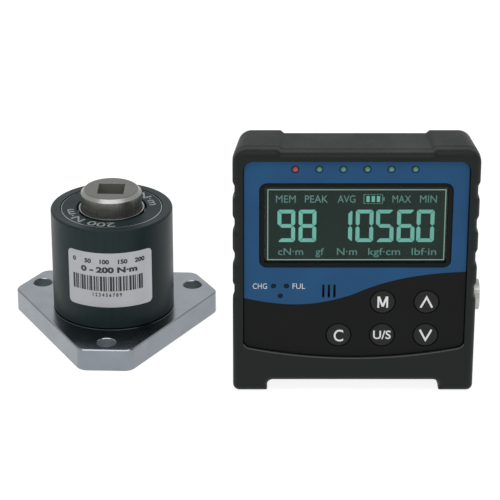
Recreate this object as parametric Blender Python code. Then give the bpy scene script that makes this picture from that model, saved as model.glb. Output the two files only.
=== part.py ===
"""Torque wrench calibrator: a flanged torque transducer and its display meter.

Blender 4.5 script, lengths in metres, +Z up, fronts facing -Y. The set stands on z = 0 with the
origin at the middle of its footprint. The transducer is modelled about its own axis, and the meter
about the middle of its front rim; each hangs from an empty.
"""
import math

import bmesh
import bpy
from mathutils import Matrix, Vector

# Gap between pieces that are cut by, or rest on, one another
CLEARANCE = 0.0003

# Where the two units stand, measured from the middle of the meter's front rim
TRANSDUCER_X = -0.1170
TRANSDUCER_Y = 0.0730
TRANSDUCER_TURN = math.radians(-2.0)

# Transducer flange
FLANGE_THICKNESS = 0.0115
FLANGE_SIDE_OFFSET = 0.0296
FLANGE_CORNER_REACH = 0.0520
FLANGE_CORNER_RADIUS = 0.0055
FLANGE_EDGE_BREAK = 0.0008
FLANGE_BOLT_CIRCLE = 0.0440
FLANGE_BOLT_HOLE = 0.0094
FLANGE_SEAT_RISE = 0.0002
FLANGE_SEAT_MARGIN = 0.0006
REGISTER_HEIGHT = 0.0040

# Transducer body
SLEEVE_DIAMETER = 0.0600
SLEEVE_WALL = 0.0030
SLEEVE_TOP = 0.0642
SLEEVE_EDGE_RADIUS = 0.0010
SLEEVE_SHOULDER_DEPTH = 0.0042
SLEEVE_SHOULDER_LIP = 0.0012
SEAL_SECTION = 0.0014

# Cap, spacer and bearing under the drive head
CAP_SEAT_SHARE = 13 / 30
CAP_OPENING = 0.0346
CAP_THICKNESS = 0.0020
CAP_RECESS = 0.0003
CAP_EDGE_BREAK = 0.0003
SPACER_WALL = 0.0009
BEARING_SECTION = 0.00575
BEARING_WIDTH = 0.0070
BEARING_BALL = 0.0028
BEARING_BALL_COUNT = 10
BEARING_RACE_GAP = 0.0017
BEARING_CAGE_SHARE = 0.30

# Sensing shaft
HEAD_DIAMETER = 0.0299
HEAD_RISE = 0.0096
HEAD_CHAMFER = 0.0018
HEAD_COLLAR_STEP = 0.0014
DRIVE_SQUARE = 0.0127
DRIVE_SLACK = 0.0001
DRIVE_DEPTH = 0.0200
NECK_DIAMETER = 0.0190
NECK_FLAT = 0.0172
NECK_FILLET = 0.0030
FOOT_INSET = 0.0047
FOOT_THICKNESS = 0.0070
GAUGE_SIZE = 0.0060
GAUGE_THICKNESS = 0.0003
TERMINAL_OPENING = 0.0264
TERMINAL_INSET = 0.0015
TERMINAL_THICKNESS = 0.0012

# Bolts that hold the shaft's foot, and the body's set screws
SHAFT_BOLT_COUNT = 4
SHAFT_BOLT_EDGE = 0.0055
SHAFT_BOLT_DIAMETER = 0.0050
SHAFT_BOLT_HEAD = 0.0085
SHAFT_BOLT_HEAD_HEIGHT = 0.0050
SHAFT_BOLT_GRIP = 0.0045
SHAFT_BOLT_KEY = 0.0040
SET_SCREW_DIAMETER = 0.0030
SET_SCREW_POINT = 0.0009
SET_SCREW_BEVEL = 0.0006
SET_SCREW_KEY = 0.00075
SET_SCREW_KEY_DEPTH = 0.0015
SET_SCREW_SPREAD = math.radians(35.0)

# Round lead socket, the same on both units
SOCKET_RIM_DIAMETER = 0.0146
SOCKET_RIM_DEPTH = 0.0030
SOCKET_EDGE_BREAK = 0.0005
SOCKET_BARREL = 0.0120
SOCKET_BORE = 0.0106
SOCKET_INSIDE = 0.0085
SOCKET_INSERT_DEPTH = 0.0040
SOCKET_NUT_ACROSS = 0.0148
SOCKET_NUT_THICKNESS = 0.0018
SOCKET_PIN_DIAMETER = 0.0010
SOCKET_PIN_CIRCLE = 0.0026
SOCKET_PIN_COUNT = 4
SOCKET_PIN_REACH = 0.0018
SENSOR_SOCKET_HEIGHT = 0.0340
SENSOR_SPOT_FACE = 0.0180
SENSOR_SPOT_DEPTH = 0.0014

# Meter case
CASE_WIDTH = 0.1140
CASE_TOP = 0.1238
CASE_WALL = 0.0030
FRONT_SHELL_DEPTH = 0.0070
REAR_SHELL_DEPTH = 0.0236
FRONT_EDGE_RADIUS = 0.0030
BACK_EDGE_RADIUS = 0.0035
CASE_DRAFT_SIDE = 0.0030
CASE_DRAFT_TOP = 0.0008
LUG_STEP = 0.0020
LUG_LENGTH = 0.0222
LUG_RAMP = 0.0014
TOP_CORNER_RADIUS = 0.0065
FOOT_CORNER_RADIUS = 0.0030
FOOT_WIDTH = 0.0163
ARCH_HEIGHT = 0.0055
ARCH_FILLET = 0.0028
GRIP_COUNT = 4
GRIP_DROP = 0.0206
GRIP_PITCH = 0.0170
GRIP_LENGTH = 0.0088
GRIP_DEPTH = 0.0009
GRIP_RAMP = 0.0018
SEAM_LIP_INSET = 0.0017
SEAM_LIP_HEIGHT = 0.0016

# Front panel, display window and display
PANEL_SIDE_MARGIN = 0.0052
PANEL_TOP_MARGIN = 0.0054
PANEL_CORNER_RADIUS = 0.0034
PANEL_END_Z = 0.0241
PANEL_MIDDLE_Z = 0.0184
PANEL_ARC_STEPS = 14
PANEL_RECESS = 0.0015
PANEL_THICKNESS = 0.0015
FACE_WALL = 0.0020
WINDOW_SIDE_MARGIN = 0.0074
WINDOW_BOTTOM = 0.0650
WINDOW_TOP_MARGIN = 0.0111
WINDOW_CORNER_RADIUS = 0.0034
WINDOW_SINK = 0.0004
WINDOW_THICKNESS = 0.0014
DISPLAY_MARGIN = 0.0020
DISPLAY_GLASS = 0.0020
BACKLIGHT_DEPTH = 0.0048

# Lamps
LAMP_DIAMETER = 0.0030
LAMP_DROP = 0.0093
LAMP_FIRST_X = -0.0282
LAMP_PITCH = 0.0110
LAMP_COUNT = 6
LAMP_PROUD = 0.0005
LAMP_FLANGE = 0.0040
LAMP_FLANGE_DEPTH = 0.0010
LAMP_STEM = 0.0022
CHARGE_LAMP_DIAMETER = 0.0018
CHARGE_LAMPS = (
    ("lamp_charging", -0.0379, 0.0552),
    ("lamp_full", -0.0319, 0.0552),
    ("lamp_power", -0.0347, 0.0501),
)

# Sounder slots
SLOT_XS = (-0.0146, -0.0120, -0.0094)
SLOT_BOTTOM = 0.0491
SLOT_TOP = 0.0561
SLOT_WIDTH = 0.0011
SLOT_END_EASE = 0.98
BUZZER_DIAMETER = 0.0120
BUZZER_MOUTH = 0.0080

# Keys: name, x, z
KEYS = (
    ("button_memory", 0.0133, 0.0470),
    ("button_up", 0.0338, 0.0470),
    ("button_clear", -0.0072, 0.0297),
    ("button_unit", 0.0133, 0.0297),
    ("button_down", 0.0338, 0.0297),
)
KEY_DIAMETER = 0.0114
KEY_GAP = 0.0005
KEY_PROUD = 0.0007
KEY_TRAVEL = 0.0007
KEY_DOME = 0.0003
KEY_EDGE_RADIUS = 0.0005
KEY_FLANGE = 0.0138
KEY_FLANGE_DEPTH = 0.0010
KEY_STEM = 0.0030
KEY_STEM_ENTRY = 0.0012
SWITCH_SIZE = 0.0062
SWITCH_HEIGHT = 0.0036
SWITCH_CORNER_RADIUS = 0.0005
SWITCH_BORE_SPARE = 0.0005

# Circuit board and what is fixed to it
BOARD_FRONT = 0.0123
BOARD_THICKNESS = 0.0016
BOARD_SIDE_MARGIN = 0.0100
BOARD_BOTTOM = 0.0090
BOARD_TOP_MARGIN = 0.0060
BOARD_CORNER_RADIUS = 0.0020
LOW_BOARD_SCREW = (0.0260, 0.0145)
BOARD_BOSS_DIAMETER = 0.0050
BOARD_SCREW_DIAMETER = 0.0018
BOARD_SCREW_HEAD = 0.0036
BOARD_SCREW_HEAD_HEIGHT = 0.0012
BOARD_SCREW_LENGTH = 0.0056
SCREW_CROWN_SHARE = 0.7

# Parts on the board's back: x, z, width, height, depth
BOARD_PARTS = (
    (-0.0080, 0.0300, 0.0100, 0.0100, 0.0016),
    (0.0160, 0.0300, 0.0080, 0.0052, 0.0018),
    (0.0300, 0.0420, 0.0100, 0.0060, 0.0050),
    (-0.0220, 0.0400, 0.0060, 0.0060, 0.0030),
)

# Case screws
CASE_SCREW_INSET = 0.0110
CASE_SCREW_LOW = 0.0140
CASE_SCREW_DROP = 0.0120
CASE_BOSS_DIAMETER = 0.0072
CASE_SCREW_DIAMETER = 0.0026
CASE_SCREW_HEAD = 0.0050
CASE_SCREW_HEAD_HEIGHT = 0.0020
CASE_SCREW_LENGTH = 0.0130
CASE_SCREW_WELL = 0.0090

# Battery, charging jack and the meter's lead socket
BATTERY_WIDTH = 0.0600
BATTERY_HEIGHT = 0.0480
BATTERY_DEPTH = 0.0080
BATTERY_CORNER_RADIUS = 0.0020
BATTERY_DROP = 0.0420
CRADLE_WALL = 0.0016
CRADLE_HEIGHT = 0.0060
CRADLE_REACH = 0.0096
JACK_DIAMETER = 0.0080
JACK_BORE = 0.0056
JACK_PIN = 0.0020
JACK_BODY = 0.0090
JACK_LENGTH = 0.0110
JACK_DEPTH = 0.0187
SIDE_PORT_Z = 0.0436
SIDE_PORT_DEPTH = 0.0170
SIDE_PAD_DIAMETER = 0.0172
SIDE_PAD_INSET = 0.0007

# Sizes that follow from the ones above
HALF_WIDTH = CASE_WIDTH / 2
LUG_INNER_X = HALF_WIDTH - LUG_LENGTH
FOOT_INNER_X = HALF_WIDTH - FOOT_WIDTH
GRIP_TOP_Z = CASE_TOP - GRIP_DROP
PANEL_HALF_WIDTH = HALF_WIDTH - PANEL_SIDE_MARGIN
PANEL_TOP = CASE_TOP - PANEL_TOP_MARGIN
WINDOW_HALF_WIDTH = PANEL_HALF_WIDTH - WINDOW_SIDE_MARGIN
WINDOW_TOP = PANEL_TOP - WINDOW_TOP_MARGIN
LAMP_Z = CASE_TOP - LAMP_DROP
BOARD_HALF_WIDTH = HALF_WIDTH - BOARD_SIDE_MARGIN
BOARD_TOP = CASE_TOP - BOARD_TOP_MARGIN
BOARD_SCREW_PLACES = ((LAMP_FIRST_X + LAMP_PITCH / 2, LAMP_Z), LOW_BOARD_SCREW)
CASE_SCREW_X = HALF_WIDTH - CASE_SCREW_INSET
CASE_SCREW_HIGH = CASE_TOP - CASE_SCREW_DROP
BATTERY_Z = CASE_TOP - BATTERY_DROP
SIDE_PAD_X = HALF_WIDTH - SIDE_PAD_INSET

# Depths behind the meter's front rim that several pieces share
SEAM_Y = FRONT_SHELL_DEPTH
BACK_Y = SEAM_Y + CLEARANCE + REAR_SHELL_DEPTH
BACK_WALL_Y = BACK_Y - CASE_WALL
PANEL_BACK_Y = PANEL_RECESS + PANEL_THICKNESS
RECESS_FLOOR_Y = PANEL_BACK_Y + CLEARANCE
FACE_BACK_Y = RECESS_FLOOR_Y + FACE_WALL
BOARD_BACK_Y = BOARD_FRONT + BOARD_THICKNESS

# Facets around round pieces
LARGE_ROUND = 40
MEDIUM_ROUND = 18
SMALL_ROUND = 8
ARC_STEPS = 4


def clear_scene():
    """Remove whatever the file held before."""
    for thing in list(bpy.data.objects):
        bpy.data.objects.remove(thing, do_unlink=True)


def finish_material(name, color, roughness, metallic=0.0):
    """A plain Principled finish."""
    material = bpy.data.materials.new(name)
    material.use_nodes = True
    shader = material.node_tree.nodes["Principled BSDF"]
    shader.inputs["Base Color"].default_value = (*color, 1.0)
    shader.inputs["Roughness"].default_value = roughness
    shader.inputs["Metallic"].default_value = metallic
    material.diffuse_color = (*color, 1.0)
    return material


def empty(name, location, turn=0.0, parent=None):
    """An empty that carries one unit or one moving piece."""
    holder = bpy.data.objects.new(name, None)
    holder.location = location
    holder.rotation_euler = (0.0, 0.0, turn)
    holder.parent = parent
    bpy.context.scene.collection.objects.link(holder)
    return holder


def put(name, bm, material, parent, location=(0, 0, 0), turn=None):
    """Turn a bmesh into an object of one material, hung from a parent."""
    bmesh.ops.recalc_face_normals(bm, faces=bm.faces)
    mesh = bpy.data.meshes.new(name)
    bm.to_mesh(mesh)
    bm.free()
    mesh.shade_smooth()
    mesh.set_sharp_from_angle(angle=math.radians(32))
    thing = bpy.data.objects.new(name, mesh)
    thing.location = location
    if turn is not None:
        thing.rotation_euler = turn
    thing.parent = parent
    if material is not None:
        mesh.materials.append(material)
    bpy.context.scene.collection.objects.link(thing)
    return thing


def boolean(target, tool, operation):
    """Cut or join with one tool object, which stays as a hidden guide."""
    tool.hide_render = True
    tool.display_type = "WIRE"
    step = target.modifiers.new(operation.title(), "BOOLEAN")
    step.operation = operation
    step.solver = "EXACT"
    step.object = tool


def carve(target, bm):
    """Cut the solids of a bmesh, given in the target's own frame, out of the target."""
    tool = put(target.name + "_cut", bm, None, target.parent, target.location, target.rotation_euler)
    boolean(target, tool, "DIFFERENCE")


def fuse(target, bm):
    """Join the solids of a bmesh, given in the target's own frame, to the target."""
    tool = put(target.name + "_add", bm, None, target.parent, target.location, target.rotation_euler)
    boolean(target, tool, "UNION")


def turned(profile, steps, bm=None):
    """Spin an (r, z) profile about Z; a profile that stays off the axis closes on itself."""
    shape = bmesh.new()
    points = [shape.verts.new((r, 0.0, z)) for r, z in profile]
    on_axis = profile[0][0] < 1e-7 and profile[-1][0] < 1e-7
    edges = [shape.edges.new(pair) for pair in zip(points, points[1:])]
    if not on_axis:
        edges.append(shape.edges.new((points[-1], points[0])))
    bmesh.ops.spin(shape, geom=points + edges, cent=(0, 0, 0), axis=(0, 0, 1),
                   angle=2 * math.pi, steps=steps, use_merge=True)
    bmesh.ops.remove_doubles(shape, verts=shape.verts, dist=1e-6)
    bmesh.ops.recalc_face_normals(shape, faces=shape.faces)
    return joined(bm, shape)


def joined(bm, shape):
    """Add a shape's solids to a bmesh, or pass the shape on where there is none."""
    if bm is None:
        return shape
    holder = bpy.data.meshes.new("part")
    shape.to_mesh(holder)
    shape.free()
    bm.from_mesh(holder)
    bpy.data.meshes.remove(holder)
    return bm


def moved(bm, matrix):
    """Apply a matrix to a whole bmesh."""
    bmesh.ops.transform(bm, matrix=matrix, verts=bm.verts)
    return bm


def towards(direction, location):
    """Matrix that turns +Z to a direction and then moves to a location."""
    turn = Vector(direction).to_track_quat("Z", "Y").to_matrix().to_4x4()
    return Matrix.Translation(location) @ turn


def rod(radius, start, end, steps, bm=None):
    """A plain round rod between two depths of its own axis."""
    return turned([(0.0, start), (radius, start), (radius, end), (0.0, end)], steps, bm)


def tube(outer, inner, start, end, steps, bm=None):
    """A plain round tube between two depths of its own axis."""
    return turned([(inner, start), (outer, start), (outer, end), (inner, end)], steps, bm)


def rounded(corners, steps=ARC_STEPS):
    """Round a polygon's corners; each is (x, z, radius), and a zero radius stays a point."""
    outline = []
    count = len(corners)
    for index, (x, z, radius) in enumerate(corners):
        here = Vector((x, z))
        before = Vector(corners[index - 1][:2]) - here
        after = Vector(corners[(index + 1) % count][:2]) - here
        if radius <= 0.0:
            outline.append((x, z))
            continue
        before.normalize()
        after.normalize()
        half = before.angle(after) / 2
        reach = radius / math.tan(half)
        centre = here + (before + after).normalized() * (radius / math.sin(half))
        first = here + before * reach - centre
        sweep = first.angle_signed(here + after * reach - centre)
        for step in range(steps + 1):
            turn = Matrix.Rotation(-sweep * step / steps, 2)
            outline.append(tuple(centre + turn @ first))
    return outline


def plane_ring(outline, y):
    """Outline points (x, z) stood up at a depth y."""
    return [(x, y, z) for x, z in outline]


def loft(rings, bm=None):
    """Skin a stack of equal rings and close both ends."""
    shape = bmesh.new()
    rows = [[shape.verts.new(point) for point in ring] for ring in rings]
    count = len(rows[0])
    for low, high in zip(rows, rows[1:]):
        for i in range(count):
            j = (i + 1) % count
            shape.faces.new((low[i], low[j], high[j], high[i]))
    shape.faces.new(rows[0])
    shape.faces.new(list(reversed(rows[-1])))
    bmesh.ops.recalc_face_normals(shape, faces=shape.faces)
    return joined(bm, shape)


def plate(outline, y_front, y_back, bm=None):
    """An upright plate of an (x, z) outline between two depths."""
    return loft([plane_ring(outline, y_front), plane_ring(outline, y_back)], bm)


def box(x0, x1, y0, y1, z0, z1, bm=None):
    """A box between limits."""
    return plate([(x0, z0), (x1, z0), (x1, z1), (x0, z1)], y0, y1, bm)


def rounded_box_outline(half_width, bottom, top, radius, steps=ARC_STEPS):
    """Upright rounded rectangle centred on x = 0."""
    corners = ((-half_width, bottom), (half_width, bottom), (half_width, top), (-half_width, top))
    return rounded([(x, z, radius) for x, z in corners], steps)


def post_matrix(x, z):
    """Places an own-axis shape along +Y at (x, z)."""
    return towards((0, 1, 0), (x, 0, z))


def post(x, z, radius, y_front, y_back, steps=SMALL_ROUND, bm=None):
    """A round post along Y."""
    return joined(bm, moved(rod(radius, y_front, y_back, steps), post_matrix(x, z)))


# Transducer

SLEEVE_RADIUS = SLEEVE_DIAMETER / 2
SLEEVE_BORE = SLEEVE_RADIUS - SLEEVE_WALL
FLANGE_SEAT_RADIUS = SLEEVE_RADIUS + FLANGE_SEAT_MARGIN
FLANGE_SEAT_TOP = FLANGE_THICKNESS + FLANGE_SEAT_RISE
SLEEVE_BOTTOM = FLANGE_SEAT_TOP + CLEARANCE
REGISTER_RADIUS = SLEEVE_BORE - CLEARANCE
REGISTER_TOP = FLANGE_THICKNESS + REGISTER_HEIGHT
CAP_TOP = SLEEVE_TOP - CAP_RECESS
CAP_BOTTOM = CAP_TOP - CAP_THICKNESS
BEARING_TOP = CAP_BOTTOM - CLEARANCE
BEARING_BOTTOM = BEARING_TOP - BEARING_WIDTH
HEAD_RADIUS = HEAD_DIAMETER / 2
BEARING_BORE = HEAD_RADIUS + CLEARANCE
BEARING_RADIUS = BEARING_BORE + BEARING_SECTION
CAP_RADIUS = BEARING_RADIUS + (SLEEVE_RADIUS - BEARING_RADIUS) * CAP_SEAT_SHARE
FOOT_RADIUS = REGISTER_RADIUS - FOOT_INSET
SHAFT_BOLT_CIRCLE = FOOT_RADIUS - SHAFT_BOLT_EDGE
HEAD_TOP = SLEEVE_TOP + HEAD_RISE
FOOT_BOTTOM = REGISTER_TOP + CLEARANCE
FOOT_TOP = FOOT_BOTTOM + FOOT_THICKNESS
COLLAR_TOP = BEARING_BOTTOM - CLEARANCE
COLLAR_BOTTOM = COLLAR_TOP - 2 * HEAD_COLLAR_STEP
NECK_TOP = COLLAR_BOTTOM - HEAD_COLLAR_STEP
BALL_CIRCLE = (BEARING_BORE + BEARING_RADIUS) / 2
INNER_RACE = BALL_CIRCLE - BEARING_RACE_GAP / 2
OUTER_RACE = BALL_CIRCLE + BEARING_RACE_GAP / 2
SHAFT_BOLT_HEAD_TOP = CLEARANCE + SHAFT_BOLT_HEAD_HEIGHT
SHAFT_BOLT_END = FOOT_BOTTOM + SHAFT_BOLT_GRIP


def flange_outline():
    """The three-cornered flange seen from above: three long sides and three blunt corners."""
    half_flat = (2 * FLANGE_SIDE_OFFSET - FLANGE_CORNER_REACH) * math.sqrt(3)
    corners = []
    for index in range(3):
        angle = math.radians(-90 + 120 * index)
        out = Vector((math.cos(angle), math.sin(angle)))
        along = Vector((-out.y, out.x))
        for side in (-1, 1):
            point = out * FLANGE_CORNER_REACH + along * half_flat * side
            corners.append((point.x, point.y, FLANGE_CORNER_RADIUS))
    return corners


def inset_corners(corners, inset):
    """Move every side of a convex polygon inwards, easing its corner radii by as much."""
    count = len(corners)
    moved_corners = []
    for index in range(count):
        here = Vector(corners[index][:2])
        before = (here - Vector(corners[index - 1][:2])).normalized()
        after = (Vector(corners[(index + 1) % count][:2]) - here).normalized()
        bisector = (Vector((-before.y, before.x)) + Vector((-after.y, after.x))).normalized()
        reach = inset / bisector.dot(Vector((-before.y, before.x)))
        point = here + bisector * reach
        moved_corners.append((point.x, point.y, corners[index][2] - inset))
    return moved_corners


def around(count, radius, start=0.0):
    """Equally spaced places on a circle, as (x, y)."""
    turn = 2 * math.pi / count
    angles = [start + index * turn for index in range(count)]
    return [(radius * math.cos(angle), radius * math.sin(angle)) for angle in angles]


def build_flange(parent, steel):
    """Flange plate with broken edges, the body's turned seat and register, and its holes."""
    outer = rounded(flange_outline(), ARC_STEPS - 1)
    eased = rounded(inset_corners(flange_outline(), FLANGE_EDGE_BREAK), ARC_STEPS - 1)
    levels = (
        (eased, 0.0),
        (outer, FLANGE_EDGE_BREAK),
        (outer, FLANGE_THICKNESS - FLANGE_EDGE_BREAK),
        (eased, FLANGE_THICKNESS),
    )
    flange = put("flange_base", loft([[(x, y, z) for x, y in ring] for ring, z in levels]), steel, parent)
    seal_line = FLANGE_THICKNESS + REGISTER_HEIGHT / 2
    groove_floor = REGISTER_RADIUS - SEAL_SECTION - CLEARANCE
    groove_half = SEAL_SECTION / 2 + CLEARANCE
    register = [
        (0.0, FLANGE_THICKNESS - FLANGE_EDGE_BREAK),
        (FLANGE_SEAT_RADIUS, FLANGE_THICKNESS - FLANGE_EDGE_BREAK),
        (FLANGE_SEAT_RADIUS, FLANGE_SEAT_TOP),
        (REGISTER_RADIUS, FLANGE_SEAT_TOP),
        (REGISTER_RADIUS, seal_line - groove_half),
        (groove_floor, seal_line - groove_half),
        (groove_floor, seal_line + groove_half),
        (REGISTER_RADIUS, seal_line + groove_half),
        (REGISTER_RADIUS, REGISTER_TOP),
        (0.0, REGISTER_TOP),
    ]
    fuse(flange, turned(register, LARGE_ROUND))
    holes = bmesh.new()
    for x, y in around(3, FLANGE_BOLT_CIRCLE, -math.pi / 2):
        hole = rod(FLANGE_BOLT_HOLE / 2, -FLANGE_THICKNESS, 2 * FLANGE_THICKNESS, MEDIUM_ROUND)
        joined(holes, moved(hole, Matrix.Translation((x, y, 0))))
    head_hole = SHAFT_BOLT_HEAD / 2 + CLEARANCE
    shank_hole = SHAFT_BOLT_DIAMETER / 2 + CLEARANCE
    stepped = [
        (0.0, -FLANGE_THICKNESS),
        (head_hole, -FLANGE_THICKNESS),
        (head_hole, SHAFT_BOLT_HEAD_TOP + CLEARANCE),
        (shank_hole, SHAFT_BOLT_HEAD_TOP + CLEARANCE),
        (shank_hole, REGISTER_TOP + FLANGE_THICKNESS),
        (0.0, REGISTER_TOP + FLANGE_THICKNESS),
    ]
    for x, y in around(SHAFT_BOLT_COUNT, SHAFT_BOLT_CIRCLE):
        joined(holes, moved(turned(stepped, SMALL_ROUND), Matrix.Translation((x, y, 0))))
    carve(flange, holes)


def build_seal(parent, rubber):
    """O-ring in the register's groove."""
    line = FLANGE_THICKNESS + REGISTER_HEIGHT / 2
    centre = REGISTER_RADIUS - SEAL_SECTION / 2
    section = [
        (centre + SEAL_SECTION / 2 * math.cos(a), line + SEAL_SECTION / 2 * math.sin(a))
        for a in (2 * math.pi * i / 6 for i in range(6))
    ]
    put("base_seal", turned(section, LARGE_ROUND // 2), rubber, parent)


def fillet_points(start, end, corner, steps):
    """Quarter arc from start to end that leaves the sharp corner outside, in (r, z)."""
    centre = Vector(start) + Vector(end) - Vector(corner)
    first = Vector(start) - centre
    second = Vector(end) - centre
    points = []
    for step in range(steps + 1):
        angle = math.pi / 2 * step / steps
        points.append(tuple(centre + first * math.cos(angle) + second * math.sin(angle)))
    return points


def build_sleeve(parent, black):
    """Body tube: rounded top rim, cap recess, bearing seat over a shoulder, and the bore."""
    outer = SLEEVE_RADIUS
    rim = fillet_points((outer, SLEEVE_TOP - SLEEVE_EDGE_RADIUS), (outer - SLEEVE_EDGE_RADIUS, SLEEVE_TOP),
                        (outer, SLEEVE_TOP), ARC_STEPS - 2)
    seat = BEARING_RADIUS + CLEARANCE
    lip = seat - SLEEVE_SHOULDER_LIP
    shoulder = BEARING_BOTTOM - CLEARANCE
    under = shoulder - SLEEVE_SHOULDER_DEPTH
    recess = CAP_RADIUS + CLEARANCE
    profile = [(outer, SLEEVE_BOTTOM)] + rim + [
        (recess, SLEEVE_TOP),
        (recess, BEARING_TOP),
        (seat, BEARING_TOP),
        (seat, shoulder),
        (lip, shoulder),
        (lip, under + (SLEEVE_BORE - lip) / 3),
        (SLEEVE_BORE, under - (SLEEVE_BORE - lip) / 3),
        (SLEEVE_BORE, SLEEVE_BOTTOM),
    ]
    sleeve = put("body_sleeve", turned(profile, LARGE_ROUND), black, parent)
    spot = rod(SENSOR_SPOT_FACE / 2, SLEEVE_RADIUS - SENSOR_SPOT_DEPTH, 2 * SLEEVE_RADIUS, MEDIUM_ROUND)
    carve(sleeve, moved(spot, towards((0, 1, 0), (0, 0, SENSOR_SOCKET_HEIGHT))))
    holes = rod(SOCKET_BARREL / 2 + CLEARANCE, SLEEVE_BORE / 2, 2 * SLEEVE_RADIUS, MEDIUM_ROUND)
    moved(holes, towards((0, 1, 0), (0, 0, SENSOR_SOCKET_HEIGHT)))
    for matrix in set_screw_places():
        radius = SET_SCREW_DIAMETER / 2 + CLEARANCE
        hole = rod(radius, SLEEVE_BORE - SLEEVE_WALL, 2 * SLEEVE_RADIUS, SMALL_ROUND)
        joined(holes, moved(hole, matrix))
    carve(sleeve, holes)


def set_screw_places():
    """Radial places of the two set screws, either side of the back."""
    height = FLANGE_THICKNESS + REGISTER_HEIGHT / 2
    places = []
    for side in (-1, 1):
        angle = math.pi / 2 + side * SET_SCREW_SPREAD
        places.append(towards((math.cos(angle), math.sin(angle), 0), (0, 0, height)))
    return places


def build_set_screws(parent, steel):
    """Socket set screws just under the body's skin, pressing on the register."""
    radius = SET_SCREW_DIAMETER / 2
    start = REGISTER_RADIUS + CLEARANCE
    end = SLEEVE_RADIUS - CLEARANCE
    profile = [
        (0.0, start),
        (SET_SCREW_POINT, start),
        (radius, start + SET_SCREW_BEVEL),
        (radius, end),
        (SET_SCREW_KEY, end),
        (SET_SCREW_KEY, end - SET_SCREW_KEY_DEPTH),
        (0.0, end - SET_SCREW_KEY_DEPTH),
    ]
    for number, matrix in enumerate(set_screw_places(), 1):
        put(f"sleeve_screw_{number}", moved(turned(profile, SMALL_ROUND), matrix), steel, parent)


def build_cap(parent, black):
    """Ring that closes the body's top over the bearing, with broken edges."""
    outer = CAP_RADIUS
    inner = CAP_OPENING / 2
    ease = CAP_EDGE_BREAK
    profile = [
        (inner, CAP_BOTTOM),
        (outer, CAP_BOTTOM),
        (outer, CAP_TOP - ease),
        (outer - ease, CAP_TOP),
        (inner + ease, CAP_TOP),
        (inner, CAP_TOP - ease),
    ]
    put("top_cap", turned(profile, LARGE_ROUND), black, parent)


def build_spacer(parent, pale):
    """Thin ring that stands on the inner race around the head."""
    inner = BEARING_BORE
    ring = tube(inner + SPACER_WALL, inner, BEARING_TOP + CLEARANCE, SLEEVE_TOP, LARGE_ROUND)
    put("spacer_ring", ring, pale, parent)


def race(plain, grooved, side):
    """Race profile: one plain wall and one with a round ball groove; side +1 is the outer race."""
    middle = (BEARING_TOP + BEARING_BOTTOM) / 2
    groove = BEARING_BALL / 2 + CLEARANCE
    rise = math.sqrt(groove ** 2 - (BEARING_RACE_GAP / 2) ** 2)
    arc = []
    for step in range(ARC_STEPS):
        share = -1 + 2 * step / (ARC_STEPS - 1)
        z = rise * share
        arc.append((BALL_CIRCLE + side * math.sqrt(groove ** 2 - z ** 2), middle + z))
    low = [(plain, BEARING_BOTTOM), (grooved, BEARING_BOTTOM)]
    return low + arc + [(grooved, BEARING_TOP), (plain, BEARING_TOP)]


def build_bearing(parent, steel):
    """Thin ball bearing: two grooved races and a cage with its ring of balls."""
    put("bearing_inner_ring", turned(race(BEARING_BORE, INNER_RACE, -1), LARGE_ROUND // 2), steel, parent)
    put("bearing_outer_ring", turned(race(BEARING_RADIUS, OUTER_RACE, 1), LARGE_ROUND // 2), steel, parent)
    middle = (BEARING_TOP + BEARING_BOTTOM) / 2
    half_band = BEARING_RACE_GAP / 2 - CLEARANCE
    half_height = BEARING_WIDTH * BEARING_CAGE_SHARE / 2
    low = middle - half_height
    high = middle + half_height
    band = tube(BALL_CIRCLE + half_band, BALL_CIRCLE - half_band, low, high, 2 * BEARING_BALL_COUNT)
    cage = put("bearing_cage", band, steel, parent)
    balls = bmesh.new()
    for x, y in around(BEARING_BALL_COUNT, BALL_CIRCLE):
        bmesh.ops.create_icosphere(balls, subdivisions=1, radius=BEARING_BALL / 2,
                                   matrix=Matrix.Translation((x, y, middle)))
    fuse(cage, balls)


def build_shaft(parent, steel):
    """Sensing shaft: chamfered head, collar, gauge neck with four flats, and a foot."""
    neck = NECK_DIAMETER / 2
    foot = FOOT_RADIUS
    lower = hollow_fillet(neck, FOOT_TOP, 1)
    upper = list(reversed(hollow_fillet(neck, NECK_TOP, -1)))
    collar = HEAD_RADIUS + HEAD_COLLAR_STEP
    profile = [(0.0, FOOT_BOTTOM), (foot, FOOT_BOTTOM), (foot, FOOT_TOP)] + lower + upper + [
        (HEAD_RADIUS, NECK_TOP),
        (collar, COLLAR_BOTTOM),
        (collar, COLLAR_TOP),
        (HEAD_RADIUS, COLLAR_TOP),
        (HEAD_RADIUS, HEAD_TOP - HEAD_CHAMFER),
        (HEAD_RADIUS - HEAD_CHAMFER, HEAD_TOP),
        (0.0, HEAD_TOP),
    ]
    shaft = put("torque_shaft", turned(profile, LARGE_ROUND), steel, parent)
    half = DRIVE_SQUARE / 2 + DRIVE_SLACK / 2
    floor = HEAD_TOP - DRIVE_DEPTH
    cuts = box(-half, half, -half, half, floor, HEAD_TOP + DRIVE_DEPTH)
    side = NECK_FLAT / 2
    span = NECK_TOP - FOOT_TOP - 2 * NECK_FILLET
    middle = (NECK_TOP + FOOT_TOP) / 2
    for x, y in around(4, 1.0):
        slab = box(side, NECK_DIAMETER, -NECK_DIAMETER, NECK_DIAMETER, middle - span / 2, middle + span / 2)
        joined(cuts, moved(slab, Matrix.Rotation(math.atan2(y, x), 4, "Z")))
    carve(shaft, cuts)
    holes = bmesh.new()
    for x, y in around(SHAFT_BOLT_COUNT, SHAFT_BOLT_CIRCLE):
        hole = rod(SHAFT_BOLT_DIAMETER / 2 + CLEARANCE, 0.0, SHAFT_BOLT_END + CLEARANCE, SMALL_ROUND)
        joined(holes, moved(hole, Matrix.Translation((x, y, 0))))
    carve(shaft, holes)


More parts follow.
